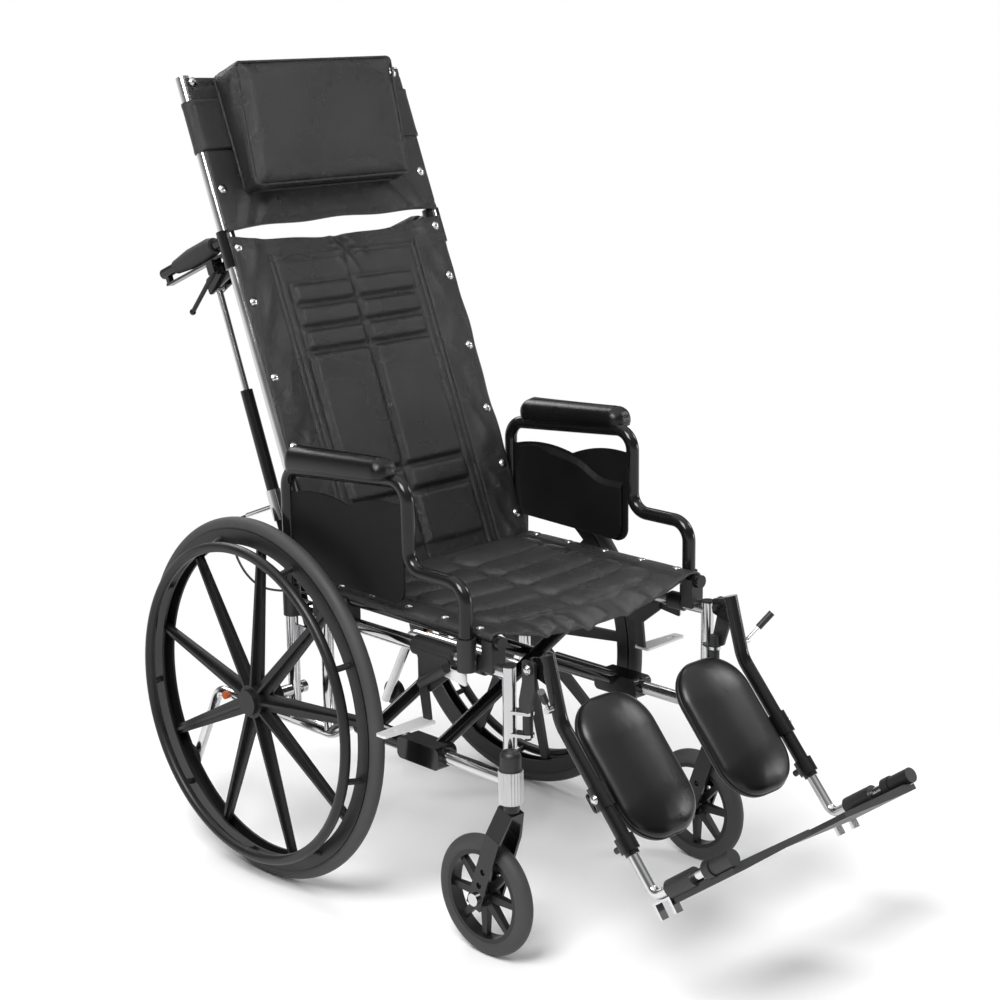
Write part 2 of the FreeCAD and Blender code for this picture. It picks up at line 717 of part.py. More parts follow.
def cross_half(low_x, front_y, rear_y):
    high_x = -low_x
    low = V(low_x, 0, LOWER_RAIL_Z)
    high = V(high_x, 0, SEAT_RAIL_Z)
    along = unit(high - low)
    stop = high - along * (CROSS_TUBE / 3)
    sleeve_r = sleeve_bore + SLEEVE_WALL

    def members(radius, rail_radius):
        shapes = []
        for y in (front_y, rear_y):
            shapes.append(rod(low + V(0, y, 0), stop + V(0, y, 0), radius))
        shapes.append(rod(V(high_x, SEAT_RAIL_FRONT_Y, SEAT_RAIL_Z),
            V(high_x, SEAT_RAIL_REAR_Y, SEAT_RAIL_Z), rail_radius))
        return shapes

    sleeve = rod(V(low_x, sleeve_front_y, LOWER_RAIL_Z), V(low_x, sleeve_rear_y, LOWER_RAIL_Z), sleeve_r)
    bore = rod(V(low_x, sleeve_front_y, LOWER_RAIL_Z), V(low_x, sleeve_rear_y, LOWER_RAIL_Z), sleeve_bore)
    lid = rod(V(high_x, SEAT_RAIL_FRONT_Y - SADDLE_WALL, SEAT_RAIL_Z),
            V(high_x, SEAT_RAIL_FRONT_Y + SADDLE_WALL, SEAT_RAIL_Z), tube_r)
    hollow = members(CROSS_TUBE / 2 - TUBE_WALL, tube_bore)
    jaw_low = LOWER_RAIL_Z - sleeve_r - JAW_WALL
    jaw_half = sleeve_r + JAW_WALL
    jaw_rear_y = sleeve_front_y + JAW_LENGTH
    jaw = side_plate([
        (sleeve_front_y, jaw_low), (sleeve_front_y, LOWER_RAIL_Z + sleeve_r),
        (jaw_rear_y, LOWER_RAIL_Z + sleeve_r), (jaw_rear_y, jaw_low),
    ], low_x - jaw_half, low_x + jaw_half, JAW_ROUND)
    body = fuse([sleeve, jaw] + members(CROSS_TUBE / 2, tube_r))
    return body.cut(hollow[0].multiFuse(hollow[1:])).fuse(lid).cut(bore)


def cross_bolt(y_from, y_to, radius):
    return rod(V(0, y_from, cross_mid_z), V(0, y_to, cross_mid_z), radius)


def cross_braces():
    front_b = CROSS_FRONT_Y + CROSS_SPACING
    rear_b = CROSS_REAR_Y - CROSS_SPACING
    right = cross_half(-frame_x, CROSS_FRONT_Y, CROSS_REAR_Y)
    left = cross_half(frame_x, front_b, rear_b)
    bolts = []
    for y_low, y_high in ((CROSS_FRONT_Y, front_b), (rear_b, CROSS_REAR_Y)):
        start = y_low - CROSS_TUBE / 2 - PLATE
        end = y_high + CROSS_TUBE / 2 + PLATE
        right = right.cut(cross_bolt(start, end, PIVOT_BOLT / 2))
        left = left.cut(cross_bolt(start, end, PIVOT_BOLT / 2 + pin_hole))
        heads = [cross_bolt(start - PLATE, start + PLATE - RUNNING_GAP, PIVOT_BOLT * 0.8),
                 cross_bolt(end - PLATE + RUNNING_GAP, end + PLATE, PIVOT_BOLT * 0.8)]
        bolts.append(fuse([cross_bolt(start, end, PIVOT_BOLT / 2)] + heads))
    return Part.makeCompound([right] + bolts), left


# Back. Its pieces are drawn upright, with the pivot at the origin, then leaned back together.

def leaned(shape):
    placed = shape.copy()
    placed.rotate(V(0, 0, 0), V(1, 0, 0), -RECLINE)
    placed.translate(V(0, BACK_PIVOT_Y, BACK_PIVOT_Z))
    return placed


def back_post():
    low = V(frame_x, 0, -POST_FOOT)
    top = V(frame_x, 0, POST_LENGTH)
    post = rod(low, top, tube_r).cut(rod(low, top, tube_bore))
    bush = across(0, 0, frame_x - tube_r + 0.5, frame_x + tube_r - 0.5, BACK_PIN)
    bush = bush.common(rod(low, top, tube_r - 0.5))
    hole = across(0, 0, frame_x - 2 * tube_r, frame_x + 2 * tube_r, BACK_PIN / 2 + pin_hole)
    return leaned(post.fuse(bush).cut(hole))


def push_handle():
    clamp_r = tube_r + CLAMP_WALL
    clamp_low = HANDLE_HEIGHT + HANDLE_TUBE / 2 + CLAMP_WALL - CLAMP_HEIGHT
    clamp = Part.makeCylinder(clamp_r, CLAMP_HEIGHT, V(frame_x, 0, clamp_low))
    clamp = clamp.cut(block(frame_x - clamp_r, frame_x + clamp_r, -clamp_r, 1 - tube_r, clamp_low,
            clamp_low + CLAMP_HEIGHT))
    stub = rod(V(frame_x, tube_r, HANDLE_HEIGHT), V(frame_x, HANDLE_REACH, HANDLE_HEIGHT), HANDLE_TUBE / 2)
    guard_z = HANDLE_HEIGHT - GRIP_DIAMETER / 2 - 2
    guard = block(frame_x - 7, frame_x + 7, tube_r, HANDLE_REACH - 8, guard_z - 4, guard_z)
    end_web = block(frame_x - 5, frame_x + 5, HANDLE_REACH - 16, HANDLE_REACH - 8, guard_z - 2,
            HANDLE_HEIGHT)
    cheeks = []
    for side in (-1, 1):
        inner = STRUT_X + side * (EYE_THICK / 2 + 1)
        outer = inner + side * 4
        outline = [(0, clamp_low + 2), (0, clamp_low + 32), (STRUT_TOP_REAR + 14, STRUT_TOP_HEIGHT + 14),
                   (STRUT_TOP_REAR + 14, STRUT_TOP_HEIGHT - 14)]
        cheeks.append(side_plate(outline, inner, outer, 6))
    web = block(STRUT_X - EYE_THICK / 2 - 5, frame_x, 4, 16, clamp_low + 4, clamp_low + 28)
    post = rod(V(frame_x, 0, clamp_low - 1), V(frame_x, 0, clamp_low + CLAMP_HEIGHT + 1), tube_r)
    lever_z = HANDLE_HEIGHT - LEVER_DROP
    lever_r = LEVER_DIAMETER * 0.8
    clevis_in = LEVER_BOSS / 2 + RUNNING_GAP
    clevis = block(frame_x - clevis_in - 3, frame_x + clevis_in + 3, LEVER_REAR - 9, LEVER_REAR + 9,
            lever_z - lever_r, guard_z - 1)
    clevis = clevis.cut(block(frame_x - clevis_in, frame_x + clevis_in, LEVER_REAR - 9, LEVER_REAR + 9,
                              lever_z - lever_r, lever_z + lever_r + RUNNING_GAP))
    bracket = fuse([clamp, stub, guard, clevis, end_web, web] + cheeks).cut(post)
    grip_r = GRIP_DIAMETER / 2
    profile = [(GRIP_START, HANDLE_TUBE / 2), (GRIP_START, grip_r * 0.8), (GRIP_START + 14, grip_r),
               (GRIP_START + GRIP_LENGTH * 0.6, grip_r), (GRIP_START + GRIP_LENGTH, grip_r * 0.7),
               (GRIP_START + GRIP_LENGTH, HANDLE_TUBE / 2)]
    wire = polygon([V(frame_x, y, HANDLE_HEIGHT + radius) for y, radius in profile])
    grip = turned(wire, V(frame_x, 0, HANDLE_HEIGHT), V(0, 1, 0))
    cable_y = tube_r + CABLE_DIAMETER / 2 + RUNNING_GAP
    cable = rod(V(frame_x - 4, cable_y, clamp_low), V(frame_x - 4, cable_y, -CABLE_DIAMETER),
            CABLE_DIAMETER / 2)
    return leaned(Part.makeCompound([bracket, grip, cable]))


def recline_lever():
    pivot = V(frame_x, LEVER_REAR, HANDLE_HEIGHT - LEVER_DROP)
    angle = math.radians(LEVER_ANGLE)
    tip = pivot + V(0, math.cos(angle), -math.sin(angle)) * LEVER_LENGTH
    arm = rod(pivot, tip, LEVER_DIAMETER / 2)
    ball = Part.makeSphere(LEVER_DIAMETER * 0.7, tip)
    boss = across(pivot.y, pivot.z, frame_x - LEVER_BOSS / 2, frame_x + LEVER_BOSS / 2,
            LEVER_DIAMETER * 0.8)
    return leaned(fuse([arm, ball, boss]))


strut_foot = V(STRUT_X, STRUT_FOOT_Y, STRUT_FOOT_Z)
strut_top = leaned(Part.Vertex(V(STRUT_X, STRUT_TOP_REAR, STRUT_TOP_HEIGHT))).Point
strut_line = unit(strut_top - strut_foot)
strut_length = (strut_top - strut_foot).Length
collar_end = COLLAR_START + COLLAR_LENGTH
body_end = collar_end + BODY_LENGTH


def on_strut(distance):
    return strut_foot + strut_line * distance


def strut_cylinder():
    eye = across(STRUT_FOOT_Y, STRUT_FOOT_Z, STRUT_X - EYE_THICK / 2, STRUT_X + EYE_THICK / 2,
            STRUT_EYE / 2)
    eye_hole = across(STRUT_FOOT_Y, STRUT_FOOT_Z, STRUT_X - EYE_THICK, STRUT_X + EYE_THICK,
            STRUT_PIN / 2 + pin_hole)
    stem = rod(on_strut(STRUT_EYE / 3), on_strut(collar_end), STRUT_TUBE / 2)
    body = rod(on_strut(collar_end), on_strut(body_end), STRUT_BODY / 2)
    bore = rod(on_strut(body_end - ROD_INSERTION - ROD_TRAVEL), on_strut(body_end),
            STRUT_ROD / 2 + RUNNING_GAP)
    collar = rod(on_strut(COLLAR_START), on_strut(collar_end), STRUT_COLLAR / 2)
    rearward = unit(V(0, strut_line.z, -strut_line.y))
    arm_root = on_strut(COLLAR_START + COLLAR_LENGTH / 2)
    arm = rod(arm_root, arm_root + rearward * RELEASE_ARM, CABLE_DIAMETER)
    collar = collar.fuse(arm).cut(rod(on_strut(COLLAR_START), on_strut(collar_end), STRUT_TUBE / 2))
    tube = fuse([eye, stem, body]).cut(eye_hole).cut(bore)
    return Part.makeCompound([tube, collar])


def strut_rod():
    shaft = rod(on_strut(body_end - ROD_INSERTION), on_strut(strut_length), STRUT_ROD / 2)
    eye = across(strut_top.y, strut_top.z, STRUT_X - EYE_THICK / 2, STRUT_X + EYE_THICK / 2, STRUT_EYE / 2)
    return shaft.fuse(eye)


release_tip = on_strut(COLLAR_START + COLLAR_LENGTH / 2) + unit(V(0, strut_line.z,
        -strut_line.y)) * RELEASE_ARM


def release_cable():
    # From the foot of the back post, back in a hanging loop and in along the strut's release arm.
    rearward = unit(V(0, strut_line.z, -strut_line.y))
    points = [
        V(221, -76, 474), V(218, -46, 475.5), V(216, -14, 474), V(213, 20, 468), V(209, 58, 460),
        V(205, 96, 455), V(202, 131, 458), V(201, 160, 472), V(201, 181, 496), V(201, 189, 524),
        V(201, 184, 550), release_tip + rearward * 24, release_tip + rearward * RUNNING_GAP,
    ]
    edges = []
    start = points[0]
    for before, corner, after in zip(points, points[1:], points[2:]):
        back = unit(before - corner)
        ahead = unit(after - corner)
        half = back.getAngle(ahead) / 2
        reach = 0.45 * min((before - corner).Length, (after - corner).Length)
        bend = reach * math.tan(half)
        crown = corner + unit(back + ahead) * (bend / math.sin(half) - bend)
        first = corner + back * reach
        last = corner + ahead * reach
        edges.append(Part.LineSegment(start, first).toShape())
        edges.append(Part.Arc(first, crown, last).toShape())
        start = last
    edges.append(Part.LineSegment(start, points[-1]).toShape())
    profile = Part.Wire([Part.makeCircle(CABLE_DIAMETER / 2, points[0], points[1] - points[0])])
    return Part.Wire(edges).makePipeShell([profile], True, False)


# Arms

def arm_points():
    return [
        V(ARM_X, ARM_FRONT_Y, arm_foot_z),
        V(ARM_X, ARM_FRONT_Y, ARM_STEP_Z),
        V(ARM_X, ARM_STEP_Y, ARM_STEP_Z),
        V(ARM_X, ARM_STEP_Y, ARM_TOP_FRONT_Z),
        V(ARM_X, ARM_REAR_Y, ARM_TOP_REAR_Z),
        V(ARM_X, ARM_REAR_Y, arm_foot_z),
    ]


def arm_frame():
    return bent_tube(arm_points(), ARM_TUBE / 2, ARM_TUBE / 2 - TUBE_WALL, ARM_BEND)


def arm_pad():
    rise = (ARM_STEP_Y - ARM_PAD_MID_Y) / (ARM_STEP_Y - ARM_REAR_Y)
    middle_z = ARM_TOP_FRONT_Z + (ARM_TOP_REAR_Z - ARM_TOP_FRONT_Z) * rise
    sections = []
    for height, inset in ((0, 5), (0.22, 0), (0.62, 0), (0.86, 6), (1.0, 17)):
        sections.append((ARM_TUBE / 2 + ARM_PAD_HEIGHT * height, ARM_PAD_WIDTH - 2 * inset,
            ARM_PAD_LENGTH - 2 * inset))
    pad = cushion(sections, ARM_PAD_WIDTH / 2, lambda u, v, h: V(u, v, h))
    pad.rotate(V(0, 0, 0), V(1, 0, 0), -arm_slope)
    pad.translate(V(frame_x + tube_r + 2 * RUNNING_GAP + ARM_PAD_WIDTH / 2, ARM_PAD_MID_Y, middle_z))
    return pad


def panel_wave(rear, front, rear_z, front_z, x):
    # The wavy top edge: a low crest behind, a dip and a higher crest in front.
    length = front - rear
    dip_y = rear + PANEL_DIP * length
    dip_z = (rear_z + front_z) / 2 - PANEL_WAVE
    rise_y = (rear + dip_y) / 2
    fall_y = (front + dip_y) / 2
    rear_arc = Part.Arc(V(x, rear, rear_z), V(x, rise_y, (rear_z + dip_z) / 2 + PANEL_WAVE),
            V(x, dip_y, dip_z))
    front_arc = Part.Arc(V(x, dip_y, dip_z), V(x, fall_y, (dip_z + front_z) / 2 + PANEL_WAVE),
            V(x, front, front_z))
    return [rear_arc.toShape(), front_arc.toShape()]


def side_panel():
    front = ARM_STEP_Y + ARM_TUBE / 2
    rear = ARM_REAR_Y - ARM_TUBE / 2
    x = ARM_X - PANEL_THICK / 2
    corner = PANEL_CORNER
    slant = corner * (1 - math.sqrt(0.5))
    edges = panel_wave(rear, front, PANEL_REAR_Z, PANEL_FRONT_Z, x)
    edges.append(Part.LineSegment(V(x, front, PANEL_FRONT_Z), V(x, front, PANEL_LOW_Z + corner)).toShape())
    edges.append(Part.Arc(V(x, front, PANEL_LOW_Z + corner), V(x, front + slant, PANEL_LOW_Z + slant),
                          V(x, front + corner, PANEL_LOW_Z)).toShape())
    edges.append(Part.LineSegment(V(x, front + corner, PANEL_LOW_Z),
            V(x, rear, PANEL_LOW_Z + PANEL_LOW_RISE)).toShape())
    edges.append(Part.LineSegment(V(x, rear, PANEL_LOW_Z + PANEL_LOW_RISE),
            V(x, rear, PANEL_REAR_Z)).toShape())
    return Part.Face(Part.Wire(edges)).extrude(V(PANEL_THICK, 0, 0))


# Legrests. The lower leg has its own frame: along the tube, and forward-up across it.

leg_sin = math.sin(math.radians(LEG_ANGLE))
leg_cos = math.cos(math.radians(LEG_ANGLE))
leg_down = V(0, -leg_sin, -leg_cos)
leg_front = V(0, -leg_cos, leg_sin)
leg_bend = V(LEG_X, LEG_BEND_Y, LEG_BEND_Z)
foot_along = V(0, -math.cos(math.radians(FOOT_ANGLE)), math.sin(math.radians(FOOT_ANGLE)))
foot_up = V(0, math.sin(math.radians(FOOT_ANGLE)), math.cos(math.radians(FOOT_ANGLE)))


def on_leg(along, front, x):
    return V(x, LEG_BEND_Y, LEG_BEND_Z) + leg_down * along + leg_front * front


foot_corner = on_leg(FOOT_DROP, 0, LEG_X)


def on_foot(along, up, x):
    return V(x, foot_corner.y, foot_corner.z) + foot_along * along + foot_up * up


def legrest_hanger():
    low = HINGE_LUG_HIGH_Z + PLATE + RUNNING_GAP
    outer = HANGER_X + PLATE
    outline = [
        (HINGE_Y + 8, low), (HINGE_Y + 8, low + 18),
        (LEG_PIVOT_Y + 13, LEG_PIVOT_Z - 22), (LEG_PIVOT_Y + 13, LEG_PIVOT_Z + 12),
        (LEG_PIVOT_Y - 13, LEG_PIVOT_Z + 12), (LEG_PIVOT_Y - 13, LEG_PIVOT_Z - 30),
        (HINGE_Y - 12, low),
    ]
    plate = side_plate(outline, HANGER_X, outer, 4)
    pin = rod(V(HINGE_X, HINGE_Y, HINGE_LUG_LOW_Z - PLATE), V(HINGE_X, HINGE_Y, low + 18), HINGE_PIN / 2)
    knuckle_r = HINGE_PIN * 0.8
    collar = rod(V(HINGE_X, HINGE_Y, low), V(HINGE_X, HINGE_Y, low + 18), knuckle_r)
    spacer = rod(V(HINGE_X, HINGE_Y, HINGE_LUG_LOW_Z + PLATE + RUNNING_GAP),
            V(HINGE_X, HINGE_Y, HINGE_LUG_HIGH_Z - RUNNING_GAP), knuckle_r)
    bolt = across(LEG_PIVOT_Y, LEG_PIVOT_Z, LEG_X - leg_r, outer + BOLT_HEAD, HINGE_PIN / 2)
    head = across(LEG_PIVOT_Y, LEG_PIVOT_Z, outer, outer + BOLT_HEAD, HINGE_PIN)
    body = fuse([plate, pin, collar, spacer]).cut(bolt)
    return Part.makeCompound([body, bolt.fuse(head)])


def legrest_tube():
    path = [V(LEG_X, LEG_TOP_Y, LEG_TOP_Z), leg_bend, on_leg(LEG_LENGTH, 0, LEG_X)]
    drop = unit(path[1] - path[0]) * PLATE
    hollow = bent_rod([path[0] + drop, path[1], path[2]], foot_rod_r + RUNNING_GAP, LEG_BEND)
    lug_outline = [
        (LEG_PIVOT_Y + 11, LEG_PIVOT_Z - 12), (LEG_PIVOT_Y + 11, LEG_PIVOT_Z + 12),
        (LEG_TOP_Y, LEG_TOP_Z - 4), (LEG_TOP_Y - 14, LEG_TOP_Z - 50),
    ]
    lug = side_plate(lug_outline, LEG_X - PLATE / 2, LEG_X + PLATE / 2, 5)
    hole = across(LEG_PIVOT_Y, LEG_PIVOT_Z, LEG_X - leg_r, LEG_X + leg_r, HINGE_PIN / 2 + pin_hole)
    clamp = rod(on_leg(BRACKET_ALONG - 18, 0, LEG_X), on_leg(BRACKET_ALONG + 18, 0, LEG_X),
            leg_r + CLAMP_WALL)
    arm_face = rounded_face([
        on_leg(BRACKET_ALONG - 16, CALF_BACK - PLATE, CALF_X - 12),
            on_leg(BRACKET_ALONG + 16, CALF_BACK - PLATE, CALF_X - 12),
        on_leg(BRACKET_ALONG + 16, CALF_BACK - PLATE, LEG_X + 6),
            on_leg(BRACKET_ALONG - 16, CALF_BACK - PLATE, LEG_X + 6),
    ], 6)
    arm = arm_face.extrude(leg_front * PLATE)
    foot_clamp = rod(on_leg(LEG_LENGTH - 30, 0, LEG_X), on_leg(LEG_LENGTH - 6, 0, LEG_X),
            leg_r + CLAMP_WALL)
    riser = rod(on_leg(BRACKET_ALONG, CALF_BACK - PLATE / 2, LEG_X), on_leg(BRACKET_ALONG, 0, LEG_X),
            PLATE * 1.5)
    knob = rod(on_leg(LEG_LENGTH - 18, 0, LEG_X), on_leg(LEG_LENGTH - 18, -leg_r - 16, LEG_X), PLATE)
    tube = bent_rod(path, leg_r, LEG_BEND)
    return fuse([tube, lug, clamp, arm, riser, foot_clamp, knob]).cut(hollow).cut(hole)


lever_root = V(LEG_X + leg_r + RUNNING_GAP + LEG_LEVER, LEG_BEND_Y + 8, LEG_BEND_Z + 22)
lever_tip = lever_root + V(LEG_LEVER_REACH, -22, 43)


def legrest_lever():
    # A barrel on the pivot with a thin stem and a thicker grip.
    half = V(LEG_LEVER, 0, 0)
    barrel = rod(lever_root - half, lever_root + half, LEG_LEVER)
    reach = (lever_tip - lever_root).Length
    stem_radius = LEG_LEVER / 2
    grip_low = reach - LEG_LEVER_GRIP
    profile = [(0, 0), (stem_radius, 0), (stem_radius, grip_low), (LEG_LEVER, grip_low), (LEG_LEVER, reach),
            (0, reach)]
    stem = turned(polygon([V(radius, 0, z) for radius, z in profile]), V(0, 0, 0), V(0, 0, 1))
    stem.Placement = FreeCAD.Placement(lever_root, FreeCAD.Rotation(V(0, 0, 1), lever_tip - lever_root))
    return fuse([barrel, stem])


def calf_pad():
    def place(u, v, height):
        return on_leg(CALF_ALONG + v, CALF_BACK + height, CALF_X + u)

    board = cushion([(0, CALF_WIDTH - 14, CALF_LENGTH - 14),
            (CALF_BOARD, CALF_WIDTH - 14, CALF_LENGTH - 14)], CALF_CORNER, place)
    sections = []
    for height, inset in ((0, 5), (0.2, 0), (0.55, 1), (0.8, 8), (0.94, 22), (1.0, 40)):
        sections.append((CALF_BOARD + (CALF_THICK - CALF_BOARD) * height, CALF_WIDTH - 2 * inset,
            CALF_LENGTH - 2 * inset))
    return Part.makeCompound([board, cushion(sections, CALF_CORNER, place)])


def footrest_rod():
    path = [on_leg(LEG_LENGTH - ROD_STOW, 0, LEG_X), foot_corner, on_foot(FOOT_ROD_LENGTH, 0, LEG_X)]
    bar = bent_rod(path, foot_rod_r, FOOT_BEND)
    cap = rod(on_foot(FOOT_ROD_LENGTH - END_CAP_LENGTH, 0, LEG_X), on_foot(FOOT_ROD_LENGTH + 6, 0, LEG_X),
            END_CAP_DIAMETER / 2)
    cap = cap.cut(bar)
    strip = Part.Face(polygon([
        on_foot(-6, -foot_rod_r, LEG_X - 7), on_foot(FOOTPLATE_START - 4, -foot_rod_r, LEG_X - 7),
        on_foot(FOOTPLATE_START - 4, -foot_rod_r, LEG_X + 7), on_foot(-6, -foot_rod_r, LEG_X + 7),
    ])).extrude(foot_up * -3)
    prongs = []
    for start in (-6, FOOTPLATE_START - 9):
        prongs.append(Part.Face(polygon([
            on_foot(start, -foot_rod_r, LEG_X - 7), on_foot(start + 5, -foot_rod_r, LEG_X - 7),
            on_foot(start + 5, -foot_rod_r, LEG_X + 7), on_foot(start, -foot_rod_r, LEG_X + 7),
        ])).extrude(foot_up * -26))
    return Part.makeCompound([bar, cap, fuse([strip] + prongs)])


def footplate():
    knuckle_r = KNUCKLE_DIAMETER / 2
    top = -foot_rod_r - RUNNING_GAP
    inner = LEG_X - knuckle_r - FOOTPLATE_WIDTH
    tread_edge = LEG_X - knuckle_r - PLATE_REBATE
    section = [
        on_foot(FOOTPLATE_START, top - PLATE_REBATE, LEG_X + 4),
            on_foot(FOOTPLATE_START, top - PLATE_REBATE, tread_edge),
        on_foot(FOOTPLATE_START, top, tread_edge), on_foot(FOOTPLATE_START, top, inner),
        on_foot(FOOTPLATE_START, top - FOOTPLATE_EDGE_THICK, inner),
        on_foot(FOOTPLATE_START, top - FOOTPLATE_HINGE_THICK, LEG_X - knuckle_r),
        on_foot(FOOTPLATE_START, top - FOOTPLATE_HINGE_THICK, LEG_X + 4),
    ]
    plate = Part.Face(polygon(section)).extrude(foot_along * FOOTPLATE_DEPTH)
    rear = rod(on_foot(FOOTPLATE_START, 0, LEG_X), on_foot(FOOTPLATE_START + KNUCKLE_LENGTH, 0, LEG_X),
            knuckle_r)
    front_end = FOOT_ROD_LENGTH - END_CAP_LENGTH - 1
    front = rod(on_foot(front_end - 14, 0, LEG_X), on_foot(front_end, 0, LEG_X), knuckle_r)
    room = rod(on_foot(front_end, 0, LEG_X), on_foot(FOOT_ROD_LENGTH + 10, 0, LEG_X),
            END_CAP_DIAMETER / 2 + 1)
    bore = rod(on_foot(0, 0, LEG_X), on_foot(FOOT_ROD_LENGTH, 0, LEG_X), foot_rod_r + RUNNING_GAP)
    return fuse([plate, rear, front]).cut(bore).cut(room)


# Wheel locks

def wheel_lock():
    outer_r = tube_r + LOCK_WALL
    clamp = rod(V(frame_x, LOCK_FRONT_Y, UPPER_RAIL_Z), V(frame_x, LOCK_REAR_Y, UPPER_RAIL_Z), outer_r)
    rail = rod(V(frame_x, LOCK_FRONT_Y, UPPER_RAIL_Z), V(frame_x, LOCK_REAR_Y, UPPER_RAIL_Z), tube_r)
    plate_x = frame_x + tube_r + 1
    outline = [
        (LOCK_PIVOT_Y + 14, LOCK_PIVOT_Z - 12), (LOCK_PIVOT_Y + 14, UPPER_RAIL_Z),
        (LOCK_FRONT_Y + 2, UPPER_RAIL_Z),
        (LOCK_FRONT_Y + 2, UPPER_RAIL_Z - 30), (LOCK_PIVOT_Y - 14, LOCK_PIVOT_Z - 12),
    ]
    plate = side_plate(outline, plate_x, plate_x + LOCK_WALL, 5)
    pin = across(LOCK_PIVOT_Y, LOCK_PIVOT_Z, plate_x + LOCK_WALL - 1, plate_x + LOCK_WALL + 12,
            LOCK_PIN / 2)
    strap_outline = [
        (LOCK_FRONT_Y - 40, UPPER_RAIL_Z - 34), (LOCK_FRONT_Y - 40, UPPER_RAIL_Z - 14),
        (LOCK_FRONT_Y + 8, UPPER_RAIL_Z - 14), (LOCK_FRONT_Y + 8, UPPER_RAIL_Z - 28),
    ]
    strap = side_plate(strap_outline, plate_x + LOCK_WALL, plate_x + LOCK_WALL + 3, 4)
    return Part.makeCompound([fuse([clamp, plate, pin]).cut(rail), strap])


def wheel_lock_lever():
    plate_x = frame_x + tube_r + 1 + LOCK_WALL + RUNNING_GAP
    outer_x = plate_x + PLATE
    foot_z = LOCK_PIVOT_Z - LOCK_ARM
    outline = [
        (LOCK_PIVOT_Y + 10, LOCK_PIVOT_Z + 10), (LOCK_PIVOT_Y - 10, LOCK_PIVOT_Z + 10),
        (LOCK_PIVOT_Y - 18, foot_z - SHOE_THICK), (LOCK_PIVOT_Y - 2, foot_z - SHOE_THICK),
    ]
    plate = side_plate(outline, plate_x, outer_x, 5)
    shoe = flat_plate([
        (plate_x, LOCK_PIVOT_Y - 10 - SHOE_WIDTH / 2), (plate_x, LOCK_PIVOT_Y - 10 + SHOE_WIDTH / 2),
        (plate_x + SHOE_LENGTH, LOCK_PIVOT_Y - 10 + SHOE_WIDTH / 3),
        (plate_x + SHOE_LENGTH, LOCK_PIVOT_Y - 10 - SHOE_WIDTH / 3),
    ], foot_z - SHOE_THICK, foot_z, 4)
    slot = block(plate_x + SHOE_LENGTH - 32, plate_x + SHOE_LENGTH - 16, LOCK_PIVOT_Y - 13,
            LOCK_PIVOT_Y - 7, foot_z - 2 * SHOE_THICK, foot_z + SHOE_THICK)
    angle = math.radians(LOCK_HANDLE_ANGLE)
    root = V(outer_x + LOCK_GRIP / 2 - 2, LOCK_PIVOT_Y, LOCK_PIVOT_Z)
    line = V(0, -math.cos(angle), math.sin(angle))
    handle = rod(root + line * 4, root + line * LOCK_HANDLE_LENGTH, LOCK_GRIP / 2)
    hole = across(LOCK_PIVOT_Y, LOCK_PIVOT_Z, plate_x - 1, plate_x + 12, LOCK_PIN / 2 + pin_hole)
    return fuse([plate, shoe.cut(slot), handle]).cut(hole)


# Anti-tippers

def anti_tipper():
    bend_point = V(frame_x, TIP_BEND_Y, TIP_RAIL_Z)
    axle_point = V(frame_x, TIP_END_Y, TIP_END_Z)
    path = [
        V(frame_x, TIP_RAIL_REAR_Y - TIP_INSERTION, TIP_RAIL_Z),
        bend_point,
        axle_point + unit(axle_point - bend_point) * TIP_TUBE * 0.7,
    ]
    tube = bent_tube(path, TIP_TUBE / 2, TIP_TUBE / 2 - TUBE_WALL, TIP_BEND)
    axle = across(TIP_END_Y, TIP_END_Z, frame_x - TIP_TUBE / 2, tip_wheel_x + TIP_WHEEL_WIDTH + 3,
            TIP_AXLE / 2)
    well = across(TIP_BUTTON_Y, TIP_RAIL_Z, frame_x, frame_x + TIP_TUBE, TIP_BUTTON / 2 + RUNNING_GAP)
    return tube.fuse(axle).cut(well)


def anti_tip_wheel():
    outer = tip_wheel_x + TIP_WHEEL_WIDTH
    wheel = across(TIP_END_Y, TIP_END_Z, tip_wheel_x, outer, TIP_WHEEL_DIAMETER / 2)
    rims = [edge for edge in wheel.Edges if edge.Closed]
    wheel = wheel.makeFillet(TIP_WHEEL_WIDTH / 4, rims)
    return wheel.cut(across(TIP_END_Y, TIP_END_Z, tip_wheel_x - 1, outer + 1, TIP_AXLE / 2 + RUNNING_GAP))


def anti_tip_button():
    start = frame_x + TIP_TUBE / 2 - TUBE_WALL * 2
    return across(TIP_BUTTON_Y, TIP_RAIL_Z, start, frame_x + TIP_TUBE / 2 + TIP_BUTTON_TRAVEL + 2,
            TIP_BUTTON / 2)


# Soft goods

def seat_upholstery():
    low = SEAT_RAIL_Z + tube_r + SEAT_GAP
    wires = []
    for share in (0.0, 0.35, 0.7, 1.0):
        y = SEAT_REAR_Y + (SEAT_FRONT_Y - SEAT_REAR_Y) * share
        sag = SEAT_SAG_REAR + (SEAT_SAG_FRONT - SEAT_SAG_REAR) * share
        edges = []
        for height, sides in ((low, (-1, 1)), (low + SEAT_CLOTH, (1, -1))):
            outer = [V(side * sheet_half, y, height) for side in sides]
            inner = [V(side * (frame_x - tube_r), y, height) for side in sides]
            edges.append(Part.LineSegment(outer[0], inner[0]).toShape())
            edges.append(Part.Arc(inner[0], V(0, y, height - sag), inner[1]).toShape())
            edges.append(Part.LineSegment(inner[1], outer[1]).toShape())
            rise = SEAT_CLOTH if height == low else -SEAT_CLOTH
            edges.append(Part.LineSegment(outer[1], outer[1] + V(0, 0, rise)).toShape())
        wires.append(Part.Wire(edges))
    return Part.makeLoft(wires, True, True)


